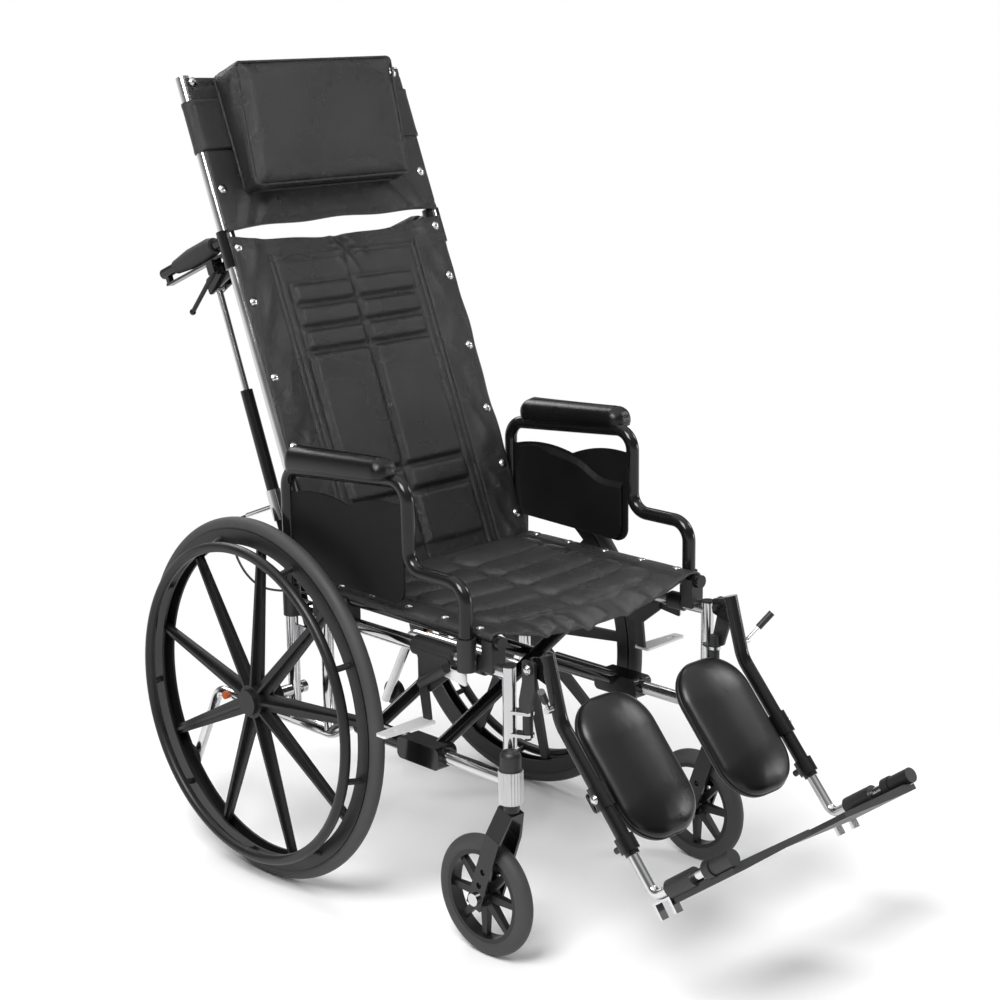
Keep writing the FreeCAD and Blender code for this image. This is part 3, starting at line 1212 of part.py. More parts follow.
def raised_pad(x_from, x_to, low, high):
    face = cloth_front - CLOTH
    inset = BACK_PAD_RAISE * 0.8
    base = polygon([V(x_from, face + 1, low), V(x_to, face + 1, low), V(x_to, face + 1, high),
            V(x_from, face + 1, high)])
    crown = face - BACK_PAD_RAISE
    top = polygon([V(x_from + inset, crown, low + inset), V(x_to - inset, crown, low + inset),
                   V(x_to - inset, crown, high - inset), V(x_from + inset, crown, high - inset)])
    return Part.makeLoft([base, top], True, True)


def hanging_sheet(low, high, low_rise, high_dip):
    # A flat sheet across the posts, with curved lower and upper edges.
    y = cloth_front
    corners = [V(-sheet_half, y, low), V(sheet_half, y, low), V(sheet_half, y, high),
            V(-sheet_half, y, high)]
    edges = [
        Part.Arc(corners[0], V(0, y, low + low_rise), corners[1]).toShape(),
        Part.LineSegment(corners[1], corners[2]).toShape(),
        Part.Arc(corners[2], V(0, y, high - high_dip), corners[3]).toShape(),
        Part.LineSegment(corners[3], corners[0]).toShape(),
    ]
    return Part.Face(Part.Wire(edges)).extrude(V(0, -CLOTH, 0))


def back_upholstery():
    # Two columns of pads: a lower panel, a band, a long panel and short bars above.
    pads = []
    low = BACK_LOW + BACK_FOOT
    for height in [BACK_LOWER_PANEL, BACK_BAND, BACK_LONG_PANEL] + [BACK_BAR] * BACK_BARS:
        pads.append(raised_pad(BACK_COLUMN_IN, BACK_COLUMN_OUT, low, low + height))
        pads.append(raised_pad(-BACK_COLUMN_OUT, -BACK_COLUMN_IN, low, low + height))
        low = low + height + BACK_SEAM
    return leaned(fuse([hanging_sheet(BACK_LOW, BACK_TOP, SHEET_BOW, BACK_TOP_DIP)] + pads))


def head_upholstery():
    return leaned(hanging_sheet(HEAD_LOW, HEAD_TOP, SHEET_BOW, HEAD_TOP_DIP))


def headrest_pillow():
    rear = -cloth_front + CLOTH + SEAT_GAP + STRAP_THICK + SEAT_GAP
    middle = (PILLOW_LOW + PILLOW_TOP) / 2
    height = PILLOW_TOP - PILLOW_LOW
    wires = []
    for depth, inset in ((0.0, 8), (0.12, 1), (0.5, 0), (0.88, 1), (0.97, 6), (1.0, 16)):
        half = height / 2

        def place(u, v):
            share = (v + half) / height
            front = PILLOW_FRONT_LOW + (PILLOW_FRONT_TOP - PILLOW_FRONT_LOW) * share
            return V(PILLOW_SHIFT + u, -(rear + (front - rear) * depth), middle + v)

        wires.append(rounded_rectangle(PILLOW_WIDTH - 2 * inset, height - 2 * inset, PILLOW_CORNER, place))
    return leaned(Part.makeCompound([Part.makeLoft(wires, True, True), headrest_strap()]))


def headrest_strap():
    # A band in front of the head panel that wraps round both posts.
    front = cloth_front - CLOTH - SEAT_GAP
    back = tube_r + SEAT_GAP
    side = sheet_half + SEAT_GAP
    tail = frame_x - tube_r
    outer = side + STRAP_THICK
    points = [
        (-tail, back), (-side, back), (-side, front), (side, front), (side, back), (tail, back),
        (tail, back + STRAP_THICK), (outer, back + STRAP_THICK), (outer, front - STRAP_THICK),
        (-outer, front - STRAP_THICK), (-outer, back + STRAP_THICK), (-tail, back + STRAP_THICK),
    ]
    outline = polygon([V(x, y, STRAP_LOW) for x, y in points])
    return Part.Face(outline).extrude(V(0, 0, STRAP_HEIGHT))


# Assembly

def wheel_set(shape):
    return set_at(shape, wheel_x, 0, axle_z)


def caster_set(shape):
    return set_at(shape, caster_x, caster_y, caster_r)


def both_sides():
    return {
        "side_frame": side_frame(),
        "frame_fittings": frame_fittings(),
        "rear_wheel": wheel_set(Part.makeCompound([moulded_wheel()] + handrim())),
        "rear_tyre": wheel_set(round_tyre(rim_r, axle_z, TYRE_SEAT_WIDTH)),
        "caster_fork": caster_fork(),
        "caster_wheel": caster_set(caster_wheel()),
        "caster_tyre": caster_set(caster_tyre()),
        "back_post": back_post(),
        "push_handle": push_handle(),
        "recline_lever": recline_lever(),
        "strut_cylinder": strut_cylinder(),
        "strut_rod": strut_rod(),
        "release_cable": release_cable(),
        "arm_frame": arm_frame(),
        "arm_pad": arm_pad(),
        "side_panel": side_panel(),
        "legrest_hanger": legrest_hanger(),
        "legrest_lever": legrest_lever(),
        "legrest_tube": legrest_tube(),
        "calf_pad": calf_pad(),
        "footrest_rod": footrest_rod(),
        "footplate": footplate(),
        "wheel_lock": wheel_lock(),
        "wheel_lock_lever": wheel_lock_lever(),
        "anti_tipper": anti_tipper(),
        "anti_tip_wheel": anti_tip_wheel(),
        "anti_tip_button": anti_tip_button(),
    }


def all_nodes():
    nodes = {}
    for name, shape in both_sides().items():
        nodes["left_" + name] = shape
        nodes["right_" + name] = shape.mirror(V(0, 0, 0), V(1, 0, 0))
    nodes["right_cross_brace"], nodes["left_cross_brace"] = cross_braces()
    nodes["seat_upholstery"] = seat_upholstery()
    nodes["back_upholstery"] = back_upholstery()
    nodes["head_upholstery"] = head_upholstery()
    nodes["headrest_pillow"] = headrest_pillow()
    return nodes


def origin_shift(nodes):
    # From the building frame to the middle of the box's underside.
    box = Part.makeCompound(list(nodes.values())).optimalBoundingBox(False, False)
    return V(-(box.XMin + box.XMax) / 2, -(box.YMin + box.YMax) / 2, -box.ZMin)


nodes = all_nodes()
shift = origin_shift(nodes)
os.makedirs("parts", exist_ok=True)
for name, shape in nodes.items():
    shape.translate(shift)
    shape.exportStep("parts/" + name + ".step")
print(len(nodes), "nodes, moved by", round(shift.x, 3), round(shift.y, 3), round(shift.z, 3))
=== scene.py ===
import math
import bpy
import bmesh
import numpy as np
from mathutils import Matrix, Vector
from mathutils.bvhtree import BVHTree


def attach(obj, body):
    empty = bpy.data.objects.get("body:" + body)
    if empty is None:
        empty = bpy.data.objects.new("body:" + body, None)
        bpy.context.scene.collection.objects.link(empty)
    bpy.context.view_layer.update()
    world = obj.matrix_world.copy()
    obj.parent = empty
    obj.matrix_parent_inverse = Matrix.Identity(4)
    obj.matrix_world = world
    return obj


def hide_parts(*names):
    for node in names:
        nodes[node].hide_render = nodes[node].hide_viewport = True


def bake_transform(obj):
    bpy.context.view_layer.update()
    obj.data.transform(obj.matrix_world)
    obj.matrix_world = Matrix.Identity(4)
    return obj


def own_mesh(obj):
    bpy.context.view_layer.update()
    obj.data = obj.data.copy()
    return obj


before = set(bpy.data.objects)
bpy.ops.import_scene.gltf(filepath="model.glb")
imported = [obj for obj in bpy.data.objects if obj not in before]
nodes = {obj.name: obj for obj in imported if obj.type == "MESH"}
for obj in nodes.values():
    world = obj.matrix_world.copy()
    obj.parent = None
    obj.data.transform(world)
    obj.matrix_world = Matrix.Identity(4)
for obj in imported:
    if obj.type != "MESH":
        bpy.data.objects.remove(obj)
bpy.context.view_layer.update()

scene = bpy.context.scene
scene.view_settings.view_transform = "Standard"
sides = (("right", -1.0), ("left", 1.0))

# The back's own frame: across x, forward n and up along the posts, in millimetres
back = {"pivotY": 218.014, "pivotZ": 485.0, "lean": 21.7, "postX": 225.0}
rearAxleY = 309.014  # the rear axle's place along y
leanSin = math.sin(math.radians(back["lean"]))
leanCos = math.cos(math.radians(back["lean"]))


def onBack(x, n, a):
    y = back["pivotY"] + a * leanSin - n * leanCos
    z = back["pivotZ"] + a * leanCos + n * leanSin
    return x / 1000, y / 1000, z / 1000


# helpers for meshes

def meshPiece(name, verts, faces, material=None, smooth=True):
    mesh = bpy.data.meshes.new(name)
    mesh.from_pydata([tuple(v) for v in verts], [], [tuple(f) for f in faces])
    mesh.validate()
    piece = bpy.data.objects.new(name, mesh)
    scene.collection.objects.link(piece)
    if smooth:
        mesh.polygons.foreach_set("use_smooth", [True] * len(mesh.polygons))
    if material:
        mesh.materials.append(material)
    return piece


def faceOutwards(piece):
    work = bmesh.new()
    work.from_mesh(piece.data)
    bmesh.ops.remove_doubles(work, verts=work.verts, dist=1e-6)
    bmesh.ops.recalc_face_normals(work, faces=work.faces)
    work.to_mesh(piece.data)
    work.free()
    piece.data.update()


def mirrored(piece, name):
    copy = piece.copy()
    copy.data = piece.data.copy()
    copy.name = name
    scene.collection.objects.link(copy)
    co = np.zeros(len(copy.data.vertices) * 3, np.float32)
    copy.data.vertices.foreach_get("co", co)
    co = co.reshape(-1, 3)
    co[:, 0] *= -1
    copy.data.vertices.foreach_set("co", co.ravel())
    copy.data.flip_normals()
    copy.data.update()
    return copy


def slab(name, front, rear, material):
    # a closed sheet from two grids of points
    rows, cols = front.shape[:2]
    verts = np.concatenate([front.reshape(-1, 3), rear.reshape(-1, 3)])
    index = np.arange(rows * cols).reshape(rows, cols)
    other = index + rows * cols
    quads = []
    for grid, flip in ((index, False), (other, True)):
        a, b, c, d = grid[:-1, :-1], grid[:-1, 1:], grid[1:, 1:], grid[1:, :-1]
        order = (a, d, c, b) if flip else (a, b, c, d)
        quads.append(np.stack(order, -1).reshape(-1, 4))
    rim = np.concatenate([index[0, :], index[1:, -1], index[-1, -2::-1], index[-2:0:-1, 0]])
    twin = rim + rows * cols
    quads.append(np.stack([rim, twin, np.roll(twin, -1), np.roll(rim, -1)], -1))
    piece = meshPiece(name, verts, np.concatenate(quads), material)
    faceOutwards(piece)
    return piece


def ringLoft(name, rings, material):
    # closed rings of equal point count, joined in turn and capped at both ends
    count = len(rings[0])
    verts = [p for ring in rings for p in ring]
    faces = []
    for k in range(len(rings) - 1):
        for i in range(count):
            j = (i + 1) % count
            faces.append((k * count + i, k * count + j, (k + 1) * count + j, (k + 1) * count + i))
    faces.append(tuple(range(count))[::-1])
    last = (len(rings) - 1) * count
    faces.append(tuple(range(last, last + count)))
    piece = meshPiece(name, verts, faces, material)
    faceOutwards(piece)
    return piece


def roundedRing(width, length, corner, count=24):
    # points round a rectangle with round corners, count to each corner
    points = []
    corner = min(corner, width / 2, length / 2)
    for k, (sx, sy) in enumerate(((1, 1), (-1, 1), (-1, -1), (1, -1))):
        cx, cy = sx * (width / 2 - corner), sy * (length / 2 - corner)
        for i in range(count):
            turn = math.radians(90 * k + 90 * i / (count - 1))
            points.append((cx + corner * math.cos(turn), cy + corner * math.sin(turn)))
    return points


def ridge(x, y, x0, y0, angle, length, width, height):
    # one soft crease, drawn along its own line
    c, s = math.cos(math.radians(angle)), math.sin(math.radians(angle))
    along = (x - x0) * c + (y - y0) * s
    off = -(x - x0) * s + (y - y0) * c
    return height * np.exp(-(off / width) ** 2) * np.exp(-(along / length) ** 4)


def groove(distance, width, depth):
    return -depth * np.exp(-(distance / width) ** 2)


def dimple(x, y, x0, y0, width, depth):
    return groove(np.hypot(x - x0, y - y0), width, depth)


def cushionField(x, y, x0, x1, y0, y1, edge, height):
    # a padded bar with a quarter round all along its edge
    corner = min(edge, (x1 - x0) / 2, (y1 - y0) / 2)
    qx = np.abs(x - (x0 + x1) / 2) - (x1 - x0) / 2 + corner
    qy = np.abs(y - (y0 + y1) / 2) - (y1 - y0) / 2 + corner
    inside = corner - np.hypot(np.maximum(qx, 0), np.maximum(qy, 0)) - np.minimum(np.maximum(qx, qy), 0)
    t = np.clip(inside / edge, 0, 1)
    return height * np.sqrt(np.clip(1 - (1 - t) ** 2, 0, 1))


# shader groups and finishes

def addNode(tree, kind, **links):
    # a new node with its inputs, each a value or a socket to link
    node = tree.nodes.new(kind)
    for label, value in links.items():
        socket = node.inputs[label.replace("_", " ")]
        if hasattr(value, "is_linked"):
            tree.links.new(value, socket)
        else:
            socket.default_value = value
    return node


def newGroup(name, inputs, outputs):
    group = bpy.data.node_groups.new(name, "ShaderNodeTree")
    for label, kind, value in inputs:
        socket = group.interface.new_socket(label, in_out="INPUT", socket_type=kind)
        if value is not None:
            socket.default_value = value
    for label, kind in outputs:
        group.interface.new_socket(label, in_out="OUTPUT", socket_type=kind)
    return group, group.nodes.new("NodeGroupInput"), group.nodes.new("NodeGroupOutput")


def mathNode(tree, operation, a, b, clamp=False):
    node = tree.nodes.new("ShaderNodeMath")
    node.operation = operation
    node.use_clamp = clamp
    for slot, value in ((0, a), (1, b)):
        if isinstance(value, (int, float)):
            node.inputs[slot].default_value = value
        else:
            tree.links.new(value, node.inputs[slot])
    return node.outputs[0]


def mottleGroup():
    # broad cloudy tone and a fine tooth, for paint, plate and plastic
    group, start, end = newGroup(
        "surfaceMottle",
        [("Vector", "NodeSocketVector", None), ("Cloud Scale", "NodeSocketFloat", 14.0),
         ("Tooth Scale", "NodeSocketFloat", 1400.0)],
        [("Cloud", "NodeSocketFloat"), ("Tooth", "NodeSocketFloat")])
    for label, scaleName, detail in (("Cloud", "Cloud Scale", 4.0), ("Tooth", "Tooth Scale", 2.0)):
        noise = addNode(group, "ShaderNodeTexNoise", Vector=start.outputs["Vector"],
                        Scale=start.outputs[scaleName], Detail=detail)
        group.links.new(noise.outputs["Fac"], end.inputs[label])
    return group


def grainGroup():
    # pebbled vinyl: small cells, long soft creases and a cloudy tone
    warpScale, warpReach, creaseDetail = 90.0, 0.004, 5.0
    cloudScale, cloudDetail, pebblePower, pebbleGain = 9.0, 3.0, 0.5, 1.2
    group, start, end = newGroup(
        "vinylGrain",
        [("Vector", "NodeSocketVector", None), ("Pebble Scale", "NodeSocketFloat", 700.0),
         ("Crease Scale", "NodeSocketFloat", 26.0), ("Crease Depth", "NodeSocketFloat", 0.9)],
        [("Height", "NodeSocketFloat"), ("Tone", "NodeSocketFloat")])
    place = start.outputs["Vector"]
    warp = addNode(group, "ShaderNodeTexNoise", Vector=place, Scale=warpScale)
    bend = group.nodes.new("ShaderNodeVectorMath")
    bend.operation = "MULTIPLY_ADD"
    bend.inputs[1].default_value = (warpReach,) * 3
    group.links.new(warp.outputs["Color"], bend.inputs[0])
    group.links.new(place, bend.inputs[2])
    bent = bend.outputs[0]
    cells = addNode(group, "ShaderNodeTexVoronoi", Vector=bent, Scale=start.outputs["Pebble Scale"])
    cells.feature = "DISTANCE_TO_EDGE"
    creases = addNode(group, "ShaderNodeTexNoise", Vector=bent, Scale=start.outputs["Crease Scale"],
                      Detail=creaseDetail)
    creases.noise_type = "RIDGED_MULTIFRACTAL"
    cloud = addNode(group, "ShaderNodeTexNoise", Vector=place, Scale=cloudScale, Detail=cloudDetail)
    rounded = mathNode(group, "POWER", cells.outputs["Distance"], pebblePower)
    pebble = mathNode(group, "MULTIPLY", rounded, pebbleGain, True)
    soft = mathNode(group, "MULTIPLY", creases.outputs["Fac"], start.outputs["Crease Depth"])
    group.links.new(mathNode(group, "ADD", pebble, soft), end.inputs["Height"])
    group.links.new(cloud.outputs["Fac"], end.inputs["Tone"])
    return group


mottle = mottleGroup()
grain = grainGroup()
noiseLow, noiseHigh = 0.3, 0.7  # the part of its range that a noise mostly fills
coatRough = 0.08


def toned(tree, factor, color, spread):
    ramp = addNode(tree, "ShaderNodeValToRGB", Fac=factor)
    shades = ((noiseLow, 1 - spread), (noiseHigh, 1 + spread))
    for element, (position, share) in zip(ramp.color_ramp.elements, shades):
        element.position = position
        element.color = (*(min(1, c * share) for c in color), 1)
    return ramp.outputs["Color"]


def spreadRange(tree, factor, low, high):
    ranged = addNode(tree, "ShaderNodeMapRange", Value=factor, From_Min=noiseLow, From_Max=noiseHigh,
                     To_Min=low, To_Max=high)
    return ranged.outputs["Result"]


def makeFinish(name, color, rough, spread, bump, metallic=0.0, coat=0.0, bumpDepth=0.0002, group=None,
               scales=None, roughSpread=0.06, shine=0.5):
    material = bpy.data.materials.new(name)
    material.use_nodes = True
    tree = material.node_tree
    shader = tree.nodes["Principled BSDF"]
    plain = {"Metallic": metallic, "Coat Weight": coat, "Coat Roughness": coatRough,
             "Specular IOR Level": shine}
    for label, value in plain.items():
        shader.inputs[label].default_value = value
    place = tree.nodes.new("ShaderNodeTexCoord")
    pattern = tree.nodes.new("ShaderNodeGroup")
    pattern.node_tree = group or mottle
    for label, value in (scales or {}).items():
        pattern.inputs[label].default_value = value
    tree.links.new(place.outputs["Object"], pattern.inputs["Vector"])
    tone, height = (pattern.outputs[k] for k in (("Tone", "Height") if group is grain else ("Cloud", "Tooth")))
    tree.links.new(toned(tree, tone, color, spread), shader.inputs["Base Color"])
    roughness = spreadRange(tree, tone, rough - roughSpread, rough + roughSpread)
    tree.links.new(roughness, shader.inputs["Roughness"])
    bumper = addNode(tree, "ShaderNodeBump", Strength=bump, Distance=bumpDepth, Height=height)
    tree.links.new(bumper.outputs["Normal"], shader.inputs["Normal"])
    return material


chromePlate = makeFinish("chromePlate", (0.66, 0.66, 0.67), 0.13, 0.06, bump=0.05, metallic=1.0)
satinSteel = makeFinish("satinSteel", (0.55, 0.55, 0.55), 0.34, 0.10, bump=0.2, metallic=1.0)
glossBlack = makeFinish("glossBlack", (0.0070, 0.0070, 0.0075), 0.15, 0.2, bump=0.03, coat=0.2,
                        roughSpread=0.03, shine=0.3)
satinBlack = makeFinish("satinBlack", (0.014, 0.014, 0.015), 0.46, 0.25, bump=0.25)
panelBlack = makeFinish("panelBlack", (0.0060, 0.0060, 0.0060), 0.55, 0.2, bump=0.4,
                        scales={"Tooth Scale": 1800.0}, shine=0.18)
wheelBlack = makeFinish("wheelBlack", (0.010, 0.010, 0.0105), 0.38, 0.2, bump=0.2, shine=0.35)
tyreGrey = makeFinish("tyreGrey", (0.040, 0.040, 0.041), 0.66, 0.14, bump=0.5,
                      scales={"Tooth Scale": 900.0})
gripRubber = makeFinish("gripRubber", (0.020, 0.019, 0.019), 0.72, 0.2, bump=0.7, bumpDepth=0.0004,
                        scales={"Tooth Scale": 600.0})
buttonOrange = makeFinish("buttonOrange", (0.66, 0.15, 0.04), 0.38, 0.08, bump=0.1)
bladeWhite = makeFinish("bladeWhite", (0.74, 0.74, 0.74), 0.36, 0.06, bump=0.1, metallic=0.35)
slingVinyl = makeFinish("slingVinyl", (0.0135, 0.0135, 0.0140), 0.29, 0.26, bump=0.6, bumpDepth=0.0010,
                        group=grain, scales={"Crease Depth": 0.5}, roughSpread=0.08)
# the seat's vinyl is the back sling's vinyl with a lighter base colour, painted light from above on its upward
# face, and a little more shine
seatVinylPaintedLight = makeFinish("seatVinylPaintedLight", (0.0210, 0.0210, 0.0215), 0.29, 0.26, bump=0.6, bumpDepth=0.0010,
                       group=grain, scales={"Crease Depth": 0.5}, roughSpread=0.08, shine=0.65)
armVinyl = makeFinish("armVinyl", (0.0035, 0.0034, 0.0034), 0.24, 0.16, bump=0.3, bumpDepth=0.0004,
                      group=grain, scales={"Crease Scale": 45.0}, roughSpread=0.05, shine=0.4)
calfVinyl = makeFinish("calfVinyl", (0.0045, 0.0043, 0.0042), 0.31, 0.14, bump=0.2, bumpDepth=0.0003,
                       group=grain, scales={"Crease Depth": 0.1}, roughSpread=0.04, shine=0.42)
threadGrey = makeFinish("threadGrey", (0.030, 0.030, 0.031), 0.6, 0.2, bump=0.3,
                        scales={"Tooth Scale": 2500.0})
print("finishes made")

# node trees for what repeats: screws, stitches and piping

def nodeTree(name, inputs):
    tree = bpy.data.node_groups.new(name, "GeometryNodeTree")
    tree.interface.new_socket("Geometry", in_out="INPUT", socket_type="NodeSocketGeometry")
    for label, kind in inputs:
        tree.interface.new_socket(label, in_out="INPUT", socket_type=kind)
    tree.interface.new_socket("Geometry", in_out="OUTPUT", socket_type="NodeSocketGeometry")
    return tree, tree.nodes.new("NodeGroupInput"), tree.nodes.new("NodeGroupOutput")


def finishTree(tree, end, instances, materialSocket):
    real = addNode(tree, "GeometryNodeRealizeInstances", Geometry=instances)
    smooth = addNode(tree, "GeometryNodeSetShadeSmooth", Geometry=real.outputs["Geometry"])
    dressed = addNode(tree, "GeometryNodeSetMaterial", Geometry=smooth.outputs["Geometry"],
                      Material=materialSocket)
    tree.links.new(dressed.outputs["Geometry"], end.inputs["Geometry"])


def screwTree():
    # a domed head on a thin cup washer at every point
    washerRatio, washerDepth = 1.22, 0.0016
    tree, start, end = nodeTree("domeScrews", [
        ("Radius", "NodeSocketFloat"), ("Height", "NodeSocketFloat"), ("Rotation", "NodeSocketVector"),
        ("Material", "NodeSocketMaterial")])
    radius = start.outputs["Radius"]
    dome = addNode(tree, "GeometryNodeMeshUVSphere", Segments=16, Rings=8, Radius=1.0)
    shape = addNode(tree, "ShaderNodeCombineXYZ", X=radius, Y=radius, Z=start.outputs["Height"])
    sized = addNode(tree, "GeometryNodeTransform", Geometry=dome.outputs["Mesh"],
                    Scale=shape.outputs["Vector"])
    washer = addNode(tree, "GeometryNodeMeshCylinder", Vertices=16, Depth=washerDepth,
                     Radius=mathNode(tree, "MULTIPLY", radius, washerRatio))
    both = tree.nodes.new("GeometryNodeJoinGeometry")
    tree.links.new(sized.outputs["Geometry"], both.inputs["Geometry"])
    tree.links.new(washer.outputs["Mesh"], both.inputs["Geometry"])
    turn = addNode(tree, "FunctionNodeEulerToRotation", Euler=start.outputs["Rotation"])
    placed = addNode(tree, "GeometryNodeInstanceOnPoints", Points=start.outputs["Geometry"],
                     Instance=both.outputs["Geometry"], Rotation=turn.outputs["Rotation"])
    finishTree(tree, end, placed.outputs["Instances"], start.outputs["Material"])
    return tree


def stitchTree():
    # short threads laid along seam lines
    tree, start, end = nodeTree("seamStitches", [
        ("Pitch", "NodeSocketFloat"), ("Thread", "NodeSocketFloat"), ("Length", "NodeSocketFloat"),
        ("Material", "NodeSocketMaterial")])
    line = addNode(tree, "GeometryNodeMeshToCurve", Mesh=start.outputs["Geometry"])
    points = addNode(tree, "GeometryNodeCurveToPoints", Curve=line.outputs["Curve"])
    points.mode = "LENGTH"  # gives the node its length input
    tree.links.new(start.outputs["Pitch"], points.inputs["Length"])
    thread = addNode(tree, "GeometryNodeMeshCylinder", Vertices=6, Radius=start.outputs["Thread"],
                     Depth=start.outputs["Length"])
    aim = addNode(tree, "FunctionNodeAlignRotationToVector", Vector=points.outputs["Tangent"])
    aim.axis = "Z"
    placed = addNode(tree, "GeometryNodeInstanceOnPoints", Points=points.outputs["Points"],
                     Instance=thread.outputs["Mesh"], Rotation=aim.outputs["Rotation"])
    finishTree(tree, end, placed.outputs["Instances"], start.outputs["Material"])
    return tree


def pipingTree():
    # a round welt swept along an edge
    tree, start, end = nodeTree("edgePiping", [
        ("Radius", "NodeSocketFloat"), ("Material", "NodeSocketMaterial")])
    line = addNode(tree, "GeometryNodeMeshToCurve", Mesh=start.outputs["Geometry"])
    section = addNode(tree, "GeometryNodeCurvePrimitiveCircle", Resolution=10,
                      Radius=start.outputs["Radius"])
    swept = addNode(tree, "GeometryNodeCurveToMesh", Curve=line.outputs["Curve"],
                    Profile_Curve=section.outputs["Curve"], Fill_Caps=True)
    finishTree(tree, end, swept.outputs["Mesh"], start.outputs["Material"])
    return tree


screws = screwTree()
stitches = stitchTree()
piping = pipingTree()


def runTree(piece, tree, values):
    modifier = piece.modifiers.new("build", "NODES")
    modifier.node_group = tree
    for item in tree.interface.items_tree:
        if item.item_type == "SOCKET" and item.in_out == "INPUT" and item.name in values:
            modifier[item.identifier] = values[item.name]
    graph = bpy.context.evaluated_depsgraph_get()
    made = bpy.data.meshes.new_from_object(piece.evaluated_get(graph), depsgraph=graph)
    piece.modifiers.remove(modifier)
    old = piece.data
    piece.data = made
    bpy.data.meshes.remove(old)
    return piece


def pointsPiece(name, points):
    return meshPiece(name, points, [], smooth=False)


def linesPiece(name, lines, closed=False):
    # loose edge chains for the node trees to follow
    mesh = bpy.data.meshes.new(name)
    verts, edges = [], []
    for line in lines:
        first = len(verts)
        verts += [tuple(p) for p in line]
        edges += [(first + i, first + i + 1) for i in range(len(line) - 1)]
        if closed:
            edges.append((len(verts) - 1, first))
    mesh.from_pydata(verts, edges, [])
    piece = bpy.data.objects.new(name, mesh)
    scene.collection.objects.link(piece)
    return piece


def settle(piece, lines):
    # bring seam lines down on the finished surface
    lift = 0.0002
    mesh = piece.data
    places = [v.co.copy() for v in mesh.vertices]
    tree = BVHTree.FromPolygons(places, [tuple(p.vertices) for p in mesh.polygons])

    def above(point):
        place, normal = tree.find_nearest(Vector(point))[:2]
        return place + lift * normal

    return [[above(point) for point in line] for line in lines]


def swell(piece, pressure, cap, holds=None, ironing=0):
    # fills a stitched cover with a short cloth run: held points stay, and none moves further than cap
    steps, stiffness = 20, 20
    work = piece.copy()
    work.data = piece.data.copy()
    scene.collection.objects.link(work)
    before = np.array([v.co for v in work.data.vertices], float)
    cloth = work.modifiers.new("cloth", "CLOTH")
    cloth.settings.use_pressure = True
    cloth.settings.uniform_pressure_force = pressure
    cloth.settings.effector_weights.gravity = 0
    cloth.settings.tension_stiffness = stiffness
    cloth.settings.compression_stiffness = stiffness
    if holds:
        held = work.vertex_groups.new(name="held")
        held.add([k for k, place in enumerate(before) if holds(place)], 1.0, "REPLACE")
        cloth.settings.vertex_group_mass = "held"
    cloth.point_cache.frame_start = 1
    cloth.point_cache.frame_end = steps
    for step in range(1, steps + 1):
        scene.frame_set(step)
    graph = bpy.context.evaluated_depsgraph_get()
    move = np.array([v.co for v in work.evaluated_get(graph).data.vertices], float) - before
    far = np.linalg.norm(move, axis=1, keepdims=True)
    move *= np.minimum(1, cap / np.maximum(far, 1e-9))
    ends = np.array([e.vertices for e in work.data.edges])
    bpy.data.objects.remove(work)
    scene.frame_set(1)
    ties = np.bincount(ends.ravel(), minlength=len(move))[:, None]
    for _ in range(ironing):
        # evens out the ripples that the run leaves between neighbours
        total = np.zeros_like(move)
        np.add.at(total, ends[:, 0], move[ends[:, 1]])
        np.add.at(total, ends[:, 1], move[ends[:, 0]])
        move = 0.5 * move + 0.5 * total / np.maximum(ties, 1)
    piece.data.vertices.foreach_set("co", (before + move).astype(np.float32).ravel())
    piece.data.update()


# the rigid pieces keep their CAD shape and get a finish

def paint(name, material, *others):
    # others are (finish, test of a face centre in millimetres)
    mesh = nodes[name].data
    mesh.materials.clear()
    mesh.materials.append(material)
    mesh.polygons.foreach_set("material_index", [0] * len(mesh.polygons))
    for k, (other, test) in enumerate(others):
        mesh.materials.append(other)
        for polygon in mesh.polygons:
            if test(polygon.center * 1000):
                polygon.material_index = k + 1


grip = {"near": 35.0, "far": 155.5, "up": 602.0, "reach": 17.6, "bar": 9.3}
strut = {"footY": -20 + rearAxleY, "footZ": 402.0, "slope": math.radians(20.9), "x": 201.0,
         "collarLow": 190.0, "collarHigh": 247.0, "lug": 14.0, "barrel": 10.8}
# borders between two finishes on one piece
border = {
    "housingTop": 314.0, "housingFront": rearAxleY - 515, "housingIn": 226.0,
    "axleTop": 108.0, "casterX": 246.0, "axleOut": 24.2, "leverDark": 436.0, "rodDark": rearAxleY - 896,
    "bladeIn": 241.6, "bladeFront": rearAxleY - 393.5, "leverBlade": 346.3,
}


def handleGrip(c):
    # the rubber sleeve on the push handle
    y, z = c.y - back["pivotY"], c.z - back["pivotZ"]
    rear, up = y * leanCos - z * leanSin, y * leanSin + z * leanCos - grip["up"]
    outside = math.hypot(up, abs(c.x) - back["postX"]) > grip["bar"]
    return grip["near"] < rear < grip["far"] and abs(up) < grip["reach"] and outside


def strutCollar(c):
    # the bright collar on the strut's cylinder
    y, z = c.y - strut["footY"], c.z - strut["footZ"]
    along = y * math.sin(strut["slope"]) + z * math.cos(strut["slope"])
    off = y * math.cos(strut["slope"]) - z * math.sin(strut["slope"])
    outside = off > strut["lug"] or math.hypot(off, abs(c.x) - strut["x"]) > strut["barrel"]
    return strut["collarLow"] < along < strut["collarHigh"] and outside


def casterHousing(c):
    return c.z < border["housingTop"] and c.y < border["housingFront"] and abs(c.x) > border["housingIn"]


def casterAxle(c):
    return c.z < border["axleTop"] and abs(abs(c.x) - border["casterX"]) > border["axleOut"]


def lockBlade(c):
    return abs(c.x) > border["bladeIn"] and c.y < border["bladeFront"]


